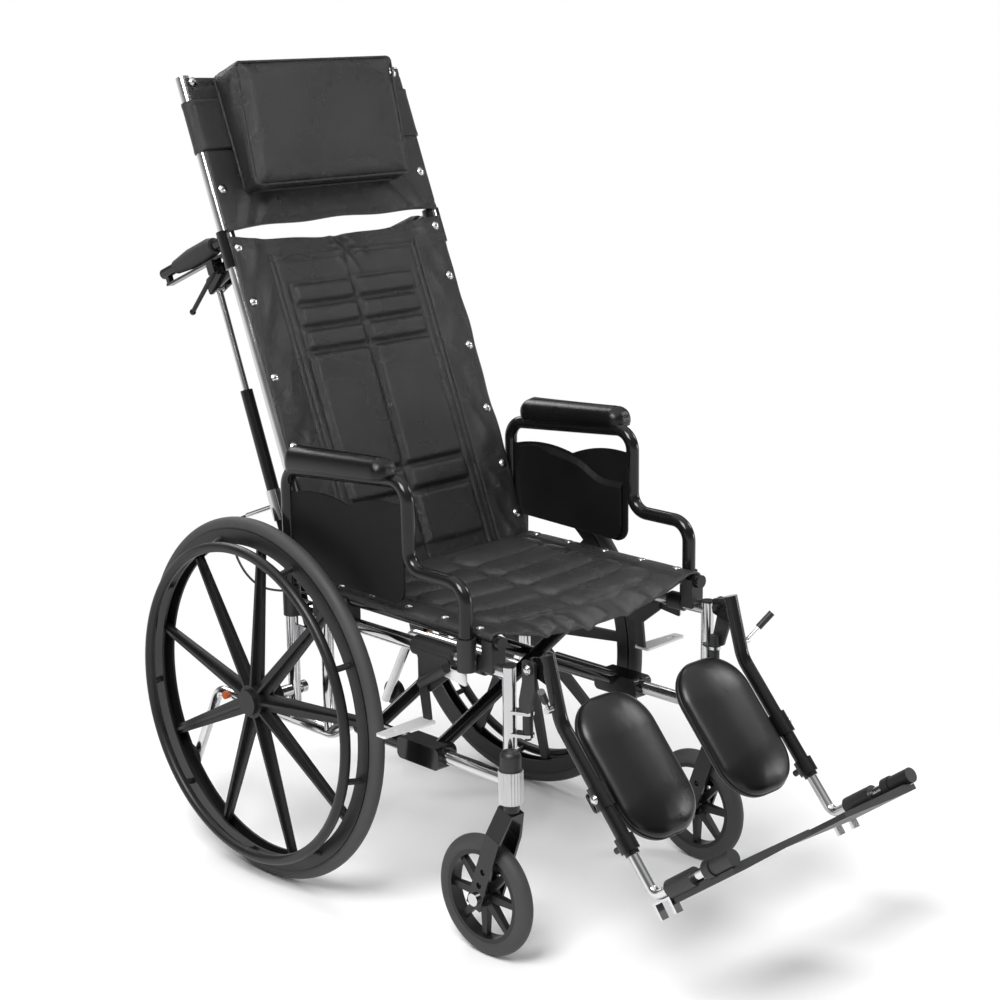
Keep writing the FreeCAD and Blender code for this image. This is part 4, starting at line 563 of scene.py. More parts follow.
looks = {
    "side_frame": (chromePlate, (satinSteel, casterHousing)),
    "frame_fittings": (satinBlack,),
    "rear_wheel": (wheelBlack,),
    "rear_tyre": (tyreGrey,),
    "caster_fork": (glossBlack, (chromePlate, casterAxle)),
    "caster_wheel": (wheelBlack,),
    "caster_tyre": (tyreGrey,),
    "back_post": (chromePlate,),
    "push_handle": (glossBlack, (gripRubber, handleGrip)),
    "recline_lever": (glossBlack,),
    "strut_cylinder": (glossBlack, (chromePlate, strutCollar)),
    "strut_rod": (chromePlate,),
    "arm_frame": (glossBlack,),
    "side_panel": (panelBlack,),
    "legrest_hanger": (satinBlack,),
    "legrest_lever": (chromePlate, (satinBlack, lambda c: c.z > border["leverDark"])),
    "legrest_tube": (glossBlack,),
    "footrest_rod": (chromePlate, (satinBlack, lambda c: c.y < border["rodDark"])),
    "footplate": (satinBlack,),
    "wheel_lock": (satinBlack, (bladeWhite, lockBlade)),
    "wheel_lock_lever": (satinBlack, (bladeWhite, lambda c: c.z < border["leverBlade"])),
    "anti_tipper": (chromePlate,),
    "anti_tip_wheel": (wheelBlack,),
    "anti_tip_button": (buttonOrange,),
    "cross_brace": (glossBlack,),
    "release_cable": (satinBlack,),
}
for side, _ in sides:
    for part, look in looks.items():
        paint(side + "_" + part, *look)
print("rigid pieces painted")


def onBackBody(piece):
    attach(piece, "right_back")
    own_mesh(piece)


# back upholstery

freeHalf = 212.0  # half the free width between the posts
backSling = {
    "halfWidth": 229.5, "low": 7.0, "top": 601.0, "topDip": 15.0, "lowRise": -2.0, "topWave": 1.2,
    "topWaveStep": 21.0, "front": 14.4, "cloth": 3.0, "sag": 7.0, "step": 2.6,
    "padRaise": 8.0, "padEdge": 8.0, "columnIn": 5.5, "columnOut": 131.0, "margin": 4.0,
    "rows": [(40, 127), (136, 172), (181, 389), (398, 429), (438, 469), (478, 509)],
    "frames": [(151.0, 552.0), (159.0, 560.0)],  # half width and top of the two border seams
    # width and depth of the seams
    "frameSeam": (2.0, 1.9), "crossSeam": (2.0, 1.7), "middleSeam": (2.2, 2.4), "rowSeam": (2.2, 2.0),
    "padSeam": (2.0, 2.0), "hem": 14.0, "hemSeam": (2.0, 1.3), "hemRoll": (7.0, 0.8),
    "wadding": 1.2, "waddingX": 148.0, "waddingFade": 3.0,
    # folds: x, up, angle, length, width and height
    "folds": [(-18, 574, -52, 28, 5, 5.6), (4, 571, -50, 30, 5, -4.6), (26, 568, -46, 26, 6, 4.6),
              (-8, 536, -62, 18, 5, 3.8), (14, 534, -58, 20, 5, 3.4)],
    "screwX": 216.0, "screwUp": (582, 490, 362, 246, 144, 54), "screwOut": 13.8, "dimple": (11.0, 1.6),
    # the fold that each screw pulls, and the slack cloth beside the posts
    "pullIn": 0.87, "pullDown": 14.0, "pullTilt": 20.0, "pull": (40.0, 9.0, 2.6),
    "slackFrom": 162.0, "slackOver": 26.0, "tacked": (14.0, 0.85),
    "waves": [(2.4, 34, 90, 0.0), (1.5, 15, -31, 1.0)],
    "seamLow": 22.0, "seamOut": 14.0,
}


def wrapped(x, front):
    # cloth depth over a post: flat between the posts, round over them
    out = np.clip(np.abs(x) - back["postX"], 0, None)
    return np.sqrt(np.clip(front ** 2 - out ** 2, 0, None))


def hemmed(distance, spec):
    # a seam along an edge that is rolled over
    return groove(distance - spec["hem"], *spec["hemSeam"]) - groove(distance, *spec["hemRoll"])


def slingSheet(name, spec, heights, edges):
    cols = int(2 * spec["halfWidth"] / spec["step"]) + 1
    rows = int((spec["top"] - spec["low"]) / spec["step"]) + 1
    across, up = np.linspace(-spec["halfWidth"], spec["halfWidth"], cols), np.linspace(0, 1, rows)
    x, v = np.meshgrid(across, up)
    low, top = edges(x)
    a = low + (top - low) * v
    hang = spec["sag"] * np.clip(1 - (x / freeHalf) ** 2, 0, 1)
    n = wrapped(x, spec["front"]) - hang + heights(x, a, low, top)
    rear = wrapped(x, spec["front"] - spec["cloth"]) - hang
    front = np.stack(onBack(x, n, a), -1)
    behind = np.stack(onBack(x, rear, a), -1)
    return slab(name, front, behind, slingVinyl)


def backEdges(x):
    s = backSling
    bow = 1 - (x / s["halfWidth"]) ** 2
    low = s["low"] + s["lowRise"] * bow
    top = s["top"] - s["topDip"] * bow + s["topWave"] * np.sin(x / s["topWaveStep"])
    return low, top


def backHeights(x, a, low, top):
    s = backSling
    frameOut, frameTop = s["frames"][-1]
    padOut, padTop, margin = s["columnOut"], s["rows"][-1][1], s["margin"]
    inner = np.abs(x)
    h = np.zeros_like(x)
    for y0, y1 in s["rows"]:
        for x0, x1 in ((s["columnIn"], padOut), (-padOut, -s["columnIn"])):
            h = np.maximum(h, cushionField(x, a, x0, x1, y0, y1, s["padEdge"], s["padRaise"]))
    for half, fa in s["frames"]:
        h += groove(inner - half, *s["frameSeam"]) * (a < frameTop + margin)
        h += groove(a - fa, *s["crossSeam"]) * (inner < frameOut + margin / 2)
    h += groove(x, *s["middleSeam"]) * (a < frameTop)
    for (_, below), (above, _) in zip(s["rows"], s["rows"][1:]):
        h += groove(a - (below + above) / 2, *s["rowSeam"]) * (inner < padOut + margin / 2)
    h += groove(inner - padOut - margin, *s["padSeam"]) * (a < padTop + margin)
    h += groove(a - padTop - margin, *s["padSeam"]) * (inner < padOut + margin)
    h += s["wadding"] / (1 + np.exp((inner - s["waddingX"]) / s["waddingFade"]))
    h += hemmed(top - a, s)
    for fold in s["folds"]:
        h += ridge(x, a, *fold)
    for sy in s["screwUp"]:
        for sx in (-1, 1):
            screwX = sx * s["screwX"]
            h += dimple(x, a, screwX, sy, *s["dimple"])
            h += ridge(x, a, screwX * s["pullIn"], sy - s["pullDown"], 90 + sx * s["pullTilt"], *s["pull"])
    slack = np.clip((inner - s["slackFrom"]) / s["slackOver"], 0, 1)
    slack *= 1 + groove(inner - s["screwX"], *s["tacked"])
    for height, up, across, start in s["waves"]:
        h += height * np.sin(a / up + x / across + start) * slack
    return h


def seamUp(x, top):
    return [onBack(x, backSling["seamOut"], a) for a in np.linspace(backSling["seamLow"], top, 90)]


def seamAcross(half, up):
    return [onBack(x, backSling["seamOut"], up) for x in np.linspace(-half, half, 60)]


backPiece = slingSheet("backSling", backSling, backHeights, backEdges)
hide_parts("back_upholstery")
onBackBody(backPiece)

frames = backSling["frames"]
backSeams = [seamUp(sx * half, top) for sx in (-1, 1) for half, top in frames]
backSeams += [seamAcross(half, top) for half, top in reversed(frames)]
backSeams.append(seamUp(0, frames[-1][1]))
backThread = linesPiece("backStitches", settle(backPiece, backSeams))
runTree(backThread, stitches, {"Pitch": 0.0042, "Thread": 0.0005, "Length": 0.003, "Material": threadGrey})
onBackBody(backThread)

# head panel

headSling = {
    "halfWidth": 229.5, "low": 612.0, "top": 872.0, "lowRise": 5.0, "topDip": 4.0, "lowWave": 1.5,
    "lowWaveStep": 26.0, "front": 14.4, "cloth": 2.6, "sag": 5.0, "step": 3.2,
    "hem": 13.0, "hemSeam": (2.0, 1.2), "hemRoll": (7.0, 0.8),
    # folds on each side: x, up, angle, length, width and height
    "folds": [(180, 640, 62, 48, 11, 6.0), (146, 636, 50, 46, 12, 5.0), (120, 650, 24, 40, 12, 1.8)],
    "dimpleX": 215.0, "dimpleUp": (682, 866), "dimple": (11.0, 1.6), "screwUp": (682, 865),
}


def headEdges(x):
    s = headSling
    bow = 1 - (x / s["halfWidth"]) ** 2
    low = s["low"] + s["lowRise"] * bow + s["lowWave"] * np.sin(x / s["lowWaveStep"] + 1)
    return low, s["top"] - s["topDip"] * bow


def headHeights(x, a, low, top):
    s = headSling
    h = hemmed(a - low, s) + groove(top - a - s["hem"], *s["hemSeam"])
    for sx in (-1, 1):
        for fx, fa, angle, *size in s["folds"]:
            h += ridge(x, a, sx * fx, fa, -sx * angle, *size)
        for sa in s["dimpleUp"]:
            h += dimple(x, a, sx * s["dimpleX"], sa, *s["dimple"])
    return h


headPiece = slingSheet("headSling", headSling, headHeights, headEdges)
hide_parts("head_upholstery")
onBackBody(headPiece)
print("back and head slings made")

# headrest pillow, its piping and its strap

pillow = {
    "width": 346.0, "low": 666.0, "top": 878.0, "shift": -14.0, "rear": 18.5, "frontTop": 91.0,
    "frontLow": 58.0, "corner": 15.0, "crown": 4.0, "pinch": 0.012, "halfDepth": 30.0,
    "counts": (44, 30, 10), "piping": 2.4, "pipingIn": 4.0, "pipingCorner": 11.0, "pipingPlace": 0.93,
}
pillowHalf = (pillow["width"] / 2, (pillow["top"] - pillow["low"]) / 2)


def pillowPoint(u, v, w):
    # u, v and w run from -1 to 1 across, up and forward
    front = pillow["frontLow"] + (pillow["frontTop"] - pillow["frontLow"]) * (v + 1) / 2
    n = pillow["rear"] + (front - pillow["rear"]) * (w + 1) / 2
    pull = 1 - pillow["pinch"] * (1 - w * w)
    middle = (pillow["low"] + pillow["top"]) / 2
    return onBack(pillow["shift"] + u * pull * pillowHalf[0], n, middle + v * pull * pillowHalf[1])


def closerOut(i, count):
    # from -1 to 1, with the points closer together towards both ends
    return math.sin((2 * i / count - 1) * math.pi / 2)


def pillowBody():
    sizes = np.array([*pillowHalf, pillow["halfDepth"]])
    r = pillow["corner"]
    verts, faces = [], []
    for axis in range(3):
        b, c = [k for k in range(3) if k != axis]
        nb, nc = pillow["counts"][b], pillow["counts"][c]
        for face in (-1, 1):
            first = len(verts)
            for i in range(nb + 1):
                for j in range(nc + 1):
                    p = np.zeros(3)
                    p[axis], p[b], p[c] = face, closerOut(i, nb), closerOut(j, nc)
                    box = p * sizes
                    core = np.clip(box, -(sizes - r), sizes - r)
                    out = box - core
                    u, v, w = (core + out / np.linalg.norm(out) * r) / sizes
                    if w > 0:
                        w += pillow["crown"] / pillow["halfDepth"] * (1 - u ** 2) * (1 - v ** 2)
                    verts.append(pillowPoint(u, v, w))
            for i in range(nb):
                for j in range(nc):
                    k = first + i * (nc + 1) + j
                    faces.append((k, k + 1, k + nc + 2, k + nc + 1))
    piece = meshPiece("headrestPillow", verts, faces, slingVinyl)
    faceOutwards(piece)
    return piece


def pillowEdge(w):
    halfX, halfY = pillowHalf
    width, length = (2 * (half - pillow["pipingIn"]) for half in pillowHalf)
    ring = roundedRing(width, length, pillow["pipingCorner"], 8)
    return [pillowPoint(x / halfX, y / halfY, w) for x, y in ring]


pillowPiece = pillowBody()
swell(pillowPiece, pressure=3.0, cap=0.005)
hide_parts("headrest_pillow")
onBackBody(pillowPiece)
pillowEdges = [pillowEdge(pillow["pipingPlace"]), pillowEdge(-pillow["pipingPlace"])]
pillowWelt = linesPiece("pillowPiping", settle(pillowPiece, pillowEdges), closed=True)
runTree(pillowWelt, piping, {"Radius": pillow["piping"] / 1000, "Material": slingVinyl})
onBackBody(pillowWelt)

strap = {
    "low": 748.0, "high": 834.0, "front": 15.0, "thick": 1.8, "side": 236.8, "back": 11.6, "tail": 205.0,
    "shift": 1.7, "deeper": 1.5, "turnSteps": 24, "hemIn": 3.0, "hemRoll": (5.0, 0.7),
    "wave": 0.5, "waveStep": 9.0,
}


def strapTurn(sx, start):
    # half a turn round a post
    radius = strap["side"] - back["postX"]
    points = []
    for k in range(strap["turnSteps"] + 1):
        turn = math.radians(start - 180 * k / strap["turnSteps"])
        n = strap["shift"] + (radius + strap["deeper"]) * math.sin(turn)
        points.append((sx * back["postX"] + radius * math.cos(turn), n))
    return points


def strapBand():
    # runs behind the pillow and round both posts
    path = [(-strap["tail"], -strap["back"])] + strapTurn(-1, 270)
    path += [(x, strap["front"]) for x in np.linspace(-freeHalf, freeHalf, 60)]
    path += strapTurn(1, 90) + [(strap["tail"], -strap["back"])]
    line = np.array(path)
    tangent = np.gradient(line, axis=0)
    normal = np.stack([-tangent[:, 1], tangent[:, 0]], -1)
    normal /= np.linalg.norm(normal, axis=1, keepdims=True)
    heights = np.linspace(strap["low"], strap["high"], 24)
    roll = -groove(heights - strap["low"] - strap["hemIn"], *strap["hemRoll"])
    roll -= groove(heights - strap["high"] + strap["hemIn"], *strap["hemRoll"])
    outer = np.zeros((len(heights), len(line), 3))
    inner = np.zeros_like(outer)
    for i, h in enumerate(heights):
        a = np.full(len(line), h + strap["wave"] * math.sin(h / strap["waveStep"]))
        face = line + normal * (strap["thick"] + roll[i])
        outer[i] = np.stack(onBack(face[:, 0], face[:, 1], a), -1)
        inner[i] = np.stack(onBack(line[:, 0], line[:, 1], a), -1)
    return slab("headrestStrap", outer, inner, slingVinyl)


strapPiece = strapBand()
onBackBody(strapPiece)
print("pillow made")

# seat sling

seat = {
    "halfWidth": 236.5, "rearY": -105.0, "frontY": -490.0, "frontBow": 6.0, "railZ": 494.0, "railR": 11.0,
    "railGap": 0.4, "cloth": 3.6, "step": 3.0,
    "sagRear": 3.0, "sagFront": 26.0, "sagPower": 1.6, "sagHalf": 213.0,
    "droop": 9.0, "droopFrom": 0.9, "droopHalf": 205.0,
    "rowEdges": [-128, -192, -254, -316, -378, -440], "rowGap": 1.0, "columnIn": 4.0, "columnOut": 186.0,
    "padEdge": 24.0, "raise": 8.0,
    "seams": [(193.0, 2.2, 1.8), (200.0, 2.2, 1.4)],  # x, width and depth
    "seamRear": -112.0, "seamFront": -478.0, "rowSeamHalf": 190.0, "sideSeamZ": 510.0, "rowSeamZ": 500.0,
    "screwX": 222.0, "screwZ": 508.3, "screwY": (-128, -206, -290, -373, -451), "dimple": (9.0, 1.2),
    # the fold that each screw pulls
    "pullX": 196.0, "pullFront": 20.0, "pullTilt": 62.0, "pull": (26.0, 7.0, 1.6),
    # folds along the front edge: x, angle and height
    "foldFrom": 0.78, "foldY": -462.0, "foldLength": 50.0, "foldWidth": 11.0,
    "folds": [(-150, 75, 6.75), (-118, 95, -6.0), (-88, 80, 9.0), (-52, 100, 8.25), (-20, 88, -6.75),
              (18, 95, 6.0), (70, 82, -5.25), (108, 100, 6.75), (150, 84, 5.25)],
    "wave": 0.9, "waveX": 23.0, "waveY": 40.0,
}


def onSeat(x, y, z):
    return x / 1000, (y + rearAxleY) / 1000, z / 1000


def seatSheet():
    s = seat
    cols = int(2 * s["halfWidth"] / s["step"]) + 1
    rows = int((s["rearY"] - s["frontY"]) / s["step"]) + 1
    x, v = np.meshgrid(np.linspace(-s["halfWidth"], s["halfWidth"], cols), np.linspace(0, 1, rows))
    bow = 1 - (x / s["halfWidth"]) ** 2
    y = s["rearY"] + (s["frontY"] + s["frontBow"] * bow - s["rearY"]) * v
    sag = s["sagRear"] + (s["sagFront"] - s["sagRear"]) * v ** s["sagPower"]
    sag *= np.clip(1 - (x / s["sagHalf"]) ** 2, 0, 1)
    droop = s["droop"] * np.clip((v - s["droopFrom"]) / (1 - s["droopFrom"]), 0, 1) ** 2
    droop *= np.clip(1 - (x / s["droopHalf"]) ** 4, 0, 1)
    h = np.zeros_like(x)
    for y1, y0 in zip(s["rowEdges"], s["rowEdges"][1:]):
        for x0, x1 in ((s["columnIn"], s["columnOut"]), (-s["columnOut"], -s["columnIn"])):
            pad = cushionField(x, y, x0, x1, y0 + s["rowGap"], y1 - s["rowGap"], s["padEdge"], s["raise"])
            h = np.maximum(h, pad)
    for sx in (-1, 1):
        for seamX, *size in s["seams"]:
            h += groove(x - sx * seamX, *size)
        for sy in s["screwY"]:
            h += dimple(x, y, sx * s["screwX"], sy, *s["dimple"])
            h += ridge(x, y, sx * s["pullX"], sy - s["pullFront"], sx * s["pullTilt"], *s["pull"])
    near = np.clip((v - s["foldFrom"]) / (1 - s["foldFrom"]), 0, 1)
    for foldX, angle, height in s["folds"]:
        h += near * ridge(x, y, foldX, s["foldY"], angle, s["foldLength"], s["foldWidth"], height)
    h += s["wave"] * np.sin(x / s["waveX"] + y / s["waveY"]) * near
    under = s["railR"] + s["railGap"]
    top = s["railZ"] + wrapped(x, under + s["cloth"]) - sag - droop + h
    low = s["railZ"] + wrapped(x, under) - sag - droop + np.minimum(h, 0)
    return slab("seatSling", np.stack(onSeat(x, y, top), -1), np.stack(onSeat(x, y, low), -1), seatVinylPaintedLight)


def seatSeamLines():
    s = seat
    along = np.linspace(s["seamRear"], s["seamFront"], 60)
    sideX = [sx * seamX for sx in (-1, 1) for seamX, *_ in s["seams"]]
    lines = [[onSeat(x, y, s["sideSeamZ"]) for y in along] for x in sideX]
    across = np.linspace(-s["rowSeamHalf"], s["rowSeamHalf"], 60)
    lines += [[onSeat(x, y, s["rowSeamZ"]) for x in across] for y in s["rowEdges"]]
    middle = np.linspace(s["rowEdges"][0], s["rowEdges"][-1], 60)
    return lines + [[onSeat(0, y, s["rowSeamZ"]) for y in middle]]


seatPiece = seatSheet()
seatThread = linesPiece("seatStitches", settle(seatPiece, seatSeamLines()))
runTree(seatThread, stitches, {"Pitch": 0.0046, "Thread": 0.0005, "Length": 0.0032, "Material": threadGrey})
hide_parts("seat_upholstery")
for piece in (seatPiece, seatThread):
    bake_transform(piece)
print("seat made")

# arm pads

armPad = {
    "width": 50.0, "length": 240.0, "midY": -183.0, "top": 35.0, "frontDrop": 13.0, "frontPower": 2.2,
    "rearDrop": 6.0, "rearPower": 4.0, "slope": 4.715, "inner": 236.6, "seat": 11.0, "gap": 0.3, "corner": 20.0,
    "tubeFront": (-327.0, 716.0), "tubeRear": (-36.0, 692.0),  # y and z of the arm tube
    # height and inset of the rings
    "profile": [(-9, 4), (-8.2, 2), (-6.4, 1.6), (-5.6, 2.2), (-4.8, 1), (-2, 0.2), (4, 0), (9, 0.6),
                (13, 2.2), (16.4, 4.8), (19, 8.4), (20.8, 13), (21.7, 18), (22, 23)],
}


def armCushion():
    s = armPad
    midX = s["inner"] + s["width"] / 2
    (frontY, frontZ), (rearY, rearZ) = s["tubeFront"], s["tubeRear"]
    midZ = frontZ + (rearZ - frontZ) * (frontY - s["midY"]) / (frontY - rearY)
    c, d = math.cos(math.radians(-s["slope"])), math.sin(math.radians(-s["slope"]))
    full = s["profile"][-1][0]
    rings = []
    for height, inset in s["profile"]:
        ring = []
        for u, v in roundedRing(s["width"] - 2 * inset, s["length"] - 2 * inset, s["corner"] - inset, 20):
            t = 2 * v / s["length"]
            front, rear = max(-t, 0) ** s["frontPower"], max(t, 0) ** s["rearPower"]
            lens = s["top"] - s["frontDrop"] * front - s["rearDrop"] * rear
            h = s["seat"] + s["gap"] + (height * lens / full if height > 0 else height)
            ring.append(onSeat(midX + u, s["midY"] + v * c - h * d, midZ + v * d + h * c))
        rings.append(ring)
    return ringLoft("left_armCushion", rings, armVinyl)


leftArm = armCushion()
swell(leftArm, pressure=2.0, cap=0.0015)
for side, piece in (("left", leftArm), ("right", mirrored(leftArm, "right_armCushion"))):
    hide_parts(side + "_arm_pad")
    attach(piece, side + "_arm")

# calf pads

calf = {
    "width": 150.0, "length": 232.0, "corner": 62.0, "x": 112.0, "along": 96.0, "rear": -19.0,
    "angle": 40.8, "bendY": -604.0, "bendZ": 393.0, "boardHigh": 15.0, "piping": 1.7,
    "pipingIn": 0.5, "pipingHigh": 14.6,
    # height and inset of the rings round the board, and the dome on it
    "profile": [(0, 8), (4, 7), (5.5, 5), (6.5, 1.5), (9, 0), (13, 0), (14.5, 1.6), (16, 0.6)],
    "domeLow": 18.0, "domeHigh": 45.0, "domeRings": 18, "domeTurn": 88.0, "domePower": 2.3,
    "domeInset": 0.6, "domeTip": 1.0,
}


def onCalf(u, v, h):
    s, c = math.sin(math.radians(calf["angle"])), math.cos(math.radians(calf["angle"]))
    along, front = calf["along"] + v, calf["rear"] + h
    y, z = calf["bendY"] - along * s - front * c, calf["bendZ"] - along * c + front * s
    return onSeat(calf["x"] + u, y, z)


def calfCushion():
    rings = []
    dome = []
    reach = calf["width"] / 2 - calf["domeInset"] - calf["domeTip"]
    for k in range(calf["domeRings"]):
        t = 1 - math.cos(math.radians(calf["domeTurn"] * k / (calf["domeRings"] - 1)))
        rise = (1 - (1 - t) ** calf["domePower"]) ** 0.5
        height = calf["domeLow"] + (calf["domeHigh"] - calf["domeLow"]) * rise
        dome.append((height, calf["domeInset"] + reach * t))
    for height, inset in calf["profile"] + dome:
        corner = calf["corner"] * (1 - 2 * inset / calf["width"])
        ring = roundedRing(calf["width"] - 2 * inset, calf["length"] - 2 * inset, corner)
        rings.append([onCalf(u, v, height) for u, v in ring])
    return ringLoft("left_calfCushion", rings, calfVinyl)


leftCalf = calfCushion()
calfUp = Vector(onCalf(0, 0, 1)) - Vector(onCalf(0, 0, 0))
boardTop = Vector(onCalf(0, 0, calf["boardHigh"]))
swell(leftCalf, pressure=3.0, cap=0.004, ironing=40,
      holds=lambda place: (Vector(place) - boardTop).dot(calfUp) < 0)
calfRing = roundedRing(*(calf[k] - 2 * calf["pipingIn"] for k in ("width", "length")), calf["corner"])
calfEdge = [onCalf(u, v, calf["pipingHigh"]) for u, v in calfRing]
leftWelt = linesPiece("left_calfPiping", [calfEdge], closed=True)
runTree(leftWelt, piping, {"Radius": calf["piping"] / 1000, "Material": calfVinyl})
for side, piece in (("left", leftWelt), ("right", mirrored(leftWelt, "right_calfPiping"))):
    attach(piece, side + "_leg")
for side, piece in (("left", leftCalf), ("right", mirrored(leftCalf, "right_calfCushion"))):
    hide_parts(side + "_calf_pad")
    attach(piece, side + "_leg")
print("pads made")

# the raised body on the inner face of the side panels

panelStep = {
    "inner": 242.0, "seat": 249.2, "front": -2.0, "rear": 244.0, "low": 523.0, "high": 668.0,
    # shares of the length and the height, from the rear
    "outline": [(0, 0.06), (0, 0.90), (0.10, 0.935), (0.20, 0.955), (0.30, 0.95), (0.40, 0.925),
                (0.50, 0.90), (0.57, 0.872), (0.63, 0.83), (0.69, 0.775), (0.745, 0.73), (0.80, 0.705),
                (0.86, 0.695), (0.985, 0.70), (0.985, 0.17), (0.97, 0.08), (0.93, 0.02), (0.88, 0.0)],
    "ledge": (4, 14), "drop": 0.055, "dropOver": 5.0,
    "bevel": [(1.6, 0.0), (0.5, 0.006), (0.0, 0.016)],  # distance from the inner face, and inset
}


def panelBody():
    s = panelStep
    rings = []
    for x, inset in [(s["seat"], 0.0)] + [(s["inner"] + off, inset) for off, inset in s["bevel"]]:
        ring = []
        for k, (u, v) in enumerate(s["outline"]):
            u, v = 0.5 + (u - 0.5) * (1 - inset), 0.5 + (v - 0.5) * (1 - 2 * inset)
            if s["ledge"][0] <= k < s["ledge"][1]:
                v -= s["drop"] * min(1, (s["seat"] - x) / s["dropOver"])
            y, z = s["rear"] + (s["front"] - s["rear"]) * u, s["low"] + (s["high"] - s["low"]) * v
            ring.append((x / 1000, y / 1000, z / 1000))
        rings.append(ring)
    return ringLoft("left_panelStep", rings, panelBlack)


leftStep = panelBody()
for side, piece in (("left", leftStep), ("right", mirrored(leftStep, "right_panelStep"))):
    piece.data.polygons.foreach_set("use_smooth", [False] * len(piece.data.polygons))
    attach(piece, side + "_arm")

# upholstery screws and bolt heads

headSizes = {
    "sling": {"Radius": 0.0062, "Height": 0.0034},
    "seat": {"Radius": 0.0056, "Height": 0.0026},
    "bolt": {"Radius": 0.0062, "Height": 0.005},
}
boltPlaces = {"legX": 222.8, "legAlong": 26.0, "hangerX": 226.2, "hangerY": -553.0, "hangerZ": 467.0}


def screwHeads(name, places, kind, turn):
    heads = pointsPiece(name, places)
    runTree(heads, screws, {**headSizes[kind], "Rotation": turn, "Material": chromePlate})
    return heads


slingScrews = [onBack(sx * backSling["screwX"], backSling["screwOut"], a)
               for sx in (-1, 1) for a in backSling["screwUp"] + headSling["screwUp"]]
backHeads = screwHeads("backScrews", slingScrews, "sling", (math.radians(90 - back["lean"]), 0, 0))
onBackBody(backHeads)
for side, sign, body in (("right", -1, "left_cross"), ("left", 1, "right_cross")):
    places = [onSeat(sign * seat["screwX"], y, seat["screwZ"]) for y in seat["screwY"]]
    heads = screwHeads(side + "_seatScrews", places, "seat", (0, 0, 0))
    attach(heads, body)
_, clampY, clampZ = onCalf(0, boltPlaces["legAlong"], -calf["rear"])
for side, sign in sides:
    bolts = {
        "leg": (sign * boltPlaces["legX"] / 1000, clampY, clampZ),
        "hanger": onSeat(sign * boltPlaces["hangerX"], boltPlaces["hangerY"], boltPlaces["hangerZ"]),
    }
    for part, place in bolts.items():
        bolt = screwHeads(side + "_" + part + "Bolt", [place], "bolt", (0, math.radians(90), 0))
        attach(bolt, side + "_" + part)
print("screws set")

# the release cables: a smoothed copy of each CAD cable, baked in place

for side, _ in sides:
    source = nodes[side + "_release_cable"]
    cable = bpy.data.objects.new(side + "_releaseCable", source.data.copy())
    scene.collection.objects.link(cable)
    faceOutwards(cable)
    cable.data.polygons.foreach_set("use_smooth", [True] * len(cable.data.polygons))
    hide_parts(side + "_release_cable")
    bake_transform(cable)
print("cables laid")

# floor, light and camera

def cameraRays(tree):
    return tree.nodes.new("ShaderNodeLightPath").outputs["Is Camera Ray"]


def viewRays(tree):
    # what the camera sees, directly or in a gloss
    glossy = tree.nodes.new("ShaderNodeLightPath").outputs["Is Glossy Ray"]
    return mathNode(tree, "MAXIMUM", cameraRays(tree), glossy)


stage = {
    "half": 14.0, "near": 0.6, "far": 1.2, "floorTone": 0.9, "floorRough": 0.9, "floorShine": 0.1,
    # height from straight down to straight up, and brightness
    "sky": [(0.0, 0.45), (0.49, 0.62), (0.54, 0.42), (0.62, 0.16), (0.80, 0.22), (0.90, 0.95), (1.0, 1.10)],
}


def floorFinish():
    # pale near the object, so that it keeps the shadow, and plain white further out
    material = bpy.data.materials.new("paleFloor")
    material.use_nodes = True
    tree = material.node_tree
    shader = tree.nodes["Principled BSDF"]
    shader.inputs["Base Color"].default_value = (stage["floorTone"],) * 3 + (1,)
    shader.inputs["Roughness"].default_value = stage["floorRough"]
    shader.inputs["Specular IOR Level"].default_value = stage["floorShine"]
    place = tree.nodes.new("ShaderNodeTexCoord")
    reach = addNode(tree, "ShaderNodeVectorMath", Vector=place.outputs["Object"])
    reach.operation = "LENGTH"
    fade = addNode(tree, "ShaderNodeMapRange", Value=reach.outputs["Value"], From_Min=stage["near"],
                   From_Max=stage["far"])
    fade.interpolation_type = "SMOOTHSTEP"
    glow = addNode(tree, "ShaderNodeEmission", Color=(1, 1, 1, 1), Strength=1.0)
    blendNode = tree.nodes.new("ShaderNodeMixShader")
    tree.links.new(mathNode(tree, "MULTIPLY", fade.outputs["Result"], viewRays(tree)), blendNode.inputs[0])
    tree.links.new(shader.outputs[0], blendNode.inputs[1])
    tree.links.new(glow.outputs[0], blendNode.inputs[2])
    tree.links.new(blendNode.outputs[0], tree.nodes["Material Output"].inputs["Surface"])
    return material


floorCorners = [(sx * stage["half"], sy * stage["half"], 0) for sx, sy in ((-1, -1), (1, -1), (1, 1), (-1, 1))]
floor = meshPiece("floor", floorCorners, [(0, 1, 2, 3)], floorFinish(), smooth=False)


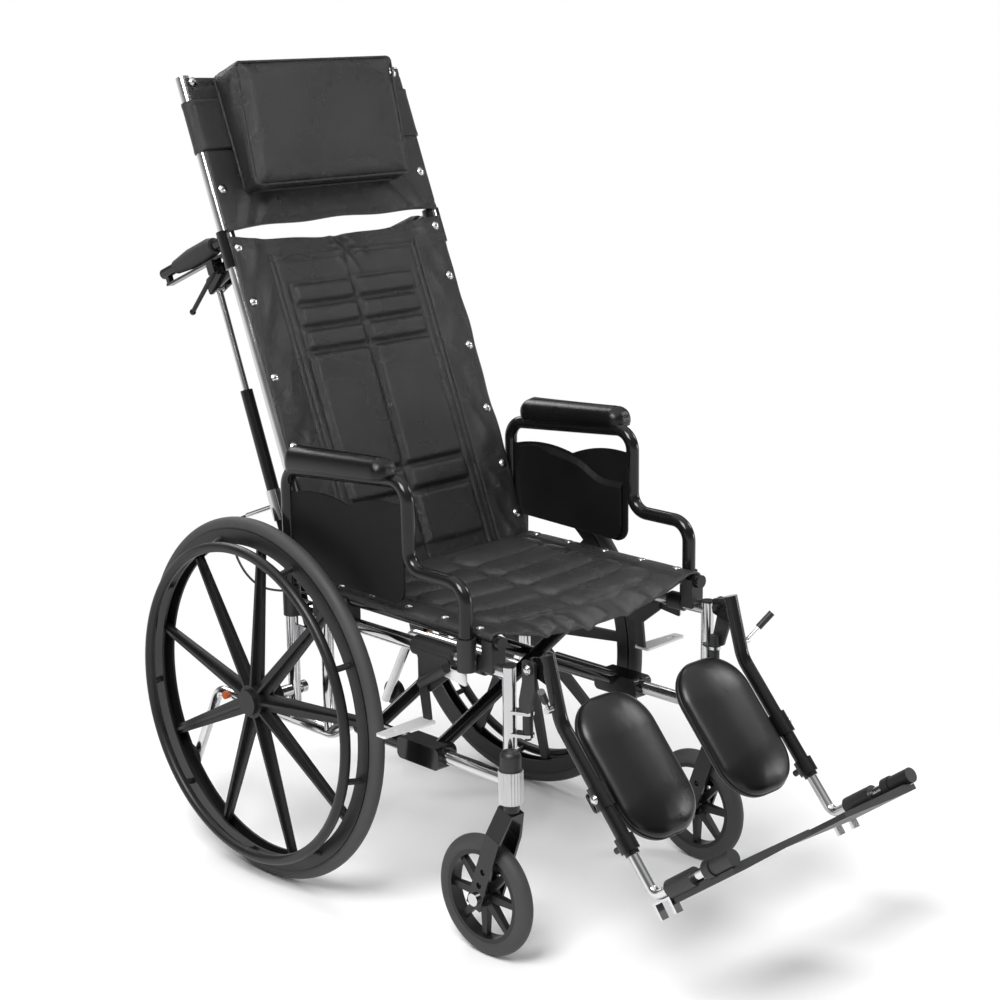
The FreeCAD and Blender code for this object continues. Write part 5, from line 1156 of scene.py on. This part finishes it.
def studioSky():
    # bright round the horizon and dim above it, for depth in metal and gloss; plain white for the camera
    world = bpy.data.worlds.new("studio")
    scene.world = world
    world.use_nodes = True
    sky = world.node_tree
    light = sky.nodes["Background"]
    place = sky.nodes.new("ShaderNodeTexCoord")
    parts = addNode(sky, "ShaderNodeSeparateXYZ", Vector=place.outputs["Generated"])
    height = mathNode(sky, "ADD", mathNode(sky, "MULTIPLY", parts.outputs["Z"], 0.5), 0.5)
    ramp = addNode(sky, "ShaderNodeValToRGB", Fac=height)
    while len(ramp.color_ramp.elements) < len(stage["sky"]):
        ramp.color_ramp.elements.new(0.5)
    for element, (position, value) in zip(ramp.color_ramp.elements, stage["sky"]):
        element.position = position
        element.color = (value, value, value, 1)
    sky.links.new(ramp.outputs["Color"], light.inputs["Color"])
    plain = addNode(sky, "ShaderNodeBackground", Color=(1, 1, 1, 1))
    mix = sky.nodes.new("ShaderNodeMixShader")
    sky.links.new(cameraRays(sky), mix.inputs[0])
    sky.links.new(light.outputs[0], mix.inputs[1])
    sky.links.new(plain.outputs[0], mix.inputs[2])
    sky.links.new(mix.outputs[0], sky.nodes["World Output"].inputs["Surface"])


studioSky()


def softLamp(name, place, target, size, power):
    lamp = bpy.data.lights.new(name, "AREA")
    lamp.shape = "RECTANGLE"
    lamp.size, lamp.size_y = size
    lamp.energy = power
    stand = bpy.data.objects.new(name, lamp)
    stand.location = place
    stand.rotation_euler = (Vector(target) - Vector(place)).to_track_quat("-Z", "Y").to_euler()
    scene.collection.objects.link(stand)


softLamp("keyLamp", place=(-2.3, -0.9, 3.3), target=(0, 0.1, 0.6), size=(1.6, 1.8), power=135)
softLamp("fillLamp", place=(2.9, -1.0, 2.3), target=(0, -0.3, 0.4), size=(0.8, 0.9), power=20)
softLamp("lowLamp", place=(3.0, -2.2, 0.9), target=(-0.1, -0.4, 0.3), size=(0.7, 0.7), power=16)
softLamp("rimLamp", place=(0.6, 3.2, 3.0), target=(0, 0, 0.8), size=(2.4, 1.6), power=60)

view = {"azimuth": -43.84, "elevation": 13.88, "roll": -0.86, "distance": 3.25045,
        "target": (0.01616, 0.059014, 0.62687), "lens": 72.018, "sensor": 36.0, "clipEnd": 60.0}


def photoCamera():
    a, e, r = (math.radians(view[k]) for k in ("azimuth", "elevation", "roll"))
    backward = Vector((math.sin(a) * math.cos(e), -math.cos(a) * math.cos(e), math.sin(e)))
    right = Vector((math.cos(a), math.sin(a), 0))
    up = backward.cross(right)
    right, up = right * math.cos(r) + up * math.sin(r), up * math.cos(r) - right * math.sin(r)
    data = bpy.data.cameras.new("photoCamera")
    data.lens = view["lens"]
    data.sensor_width = view["sensor"]
    data.sensor_fit = "HORIZONTAL"
    data.clip_end = view["clipEnd"]
    camera = bpy.data.objects.new("photoCamera", data)
    scene.collection.objects.link(camera)
    place = Vector(view["target"]) + backward * view["distance"]
    camera.matrix_world = Matrix.Translation(place) @ Matrix((right, up, backward)).transposed().to_4x4()
    scene.camera = camera


photoCamera()
print("stage set")

bpy.context.view_layer.update()
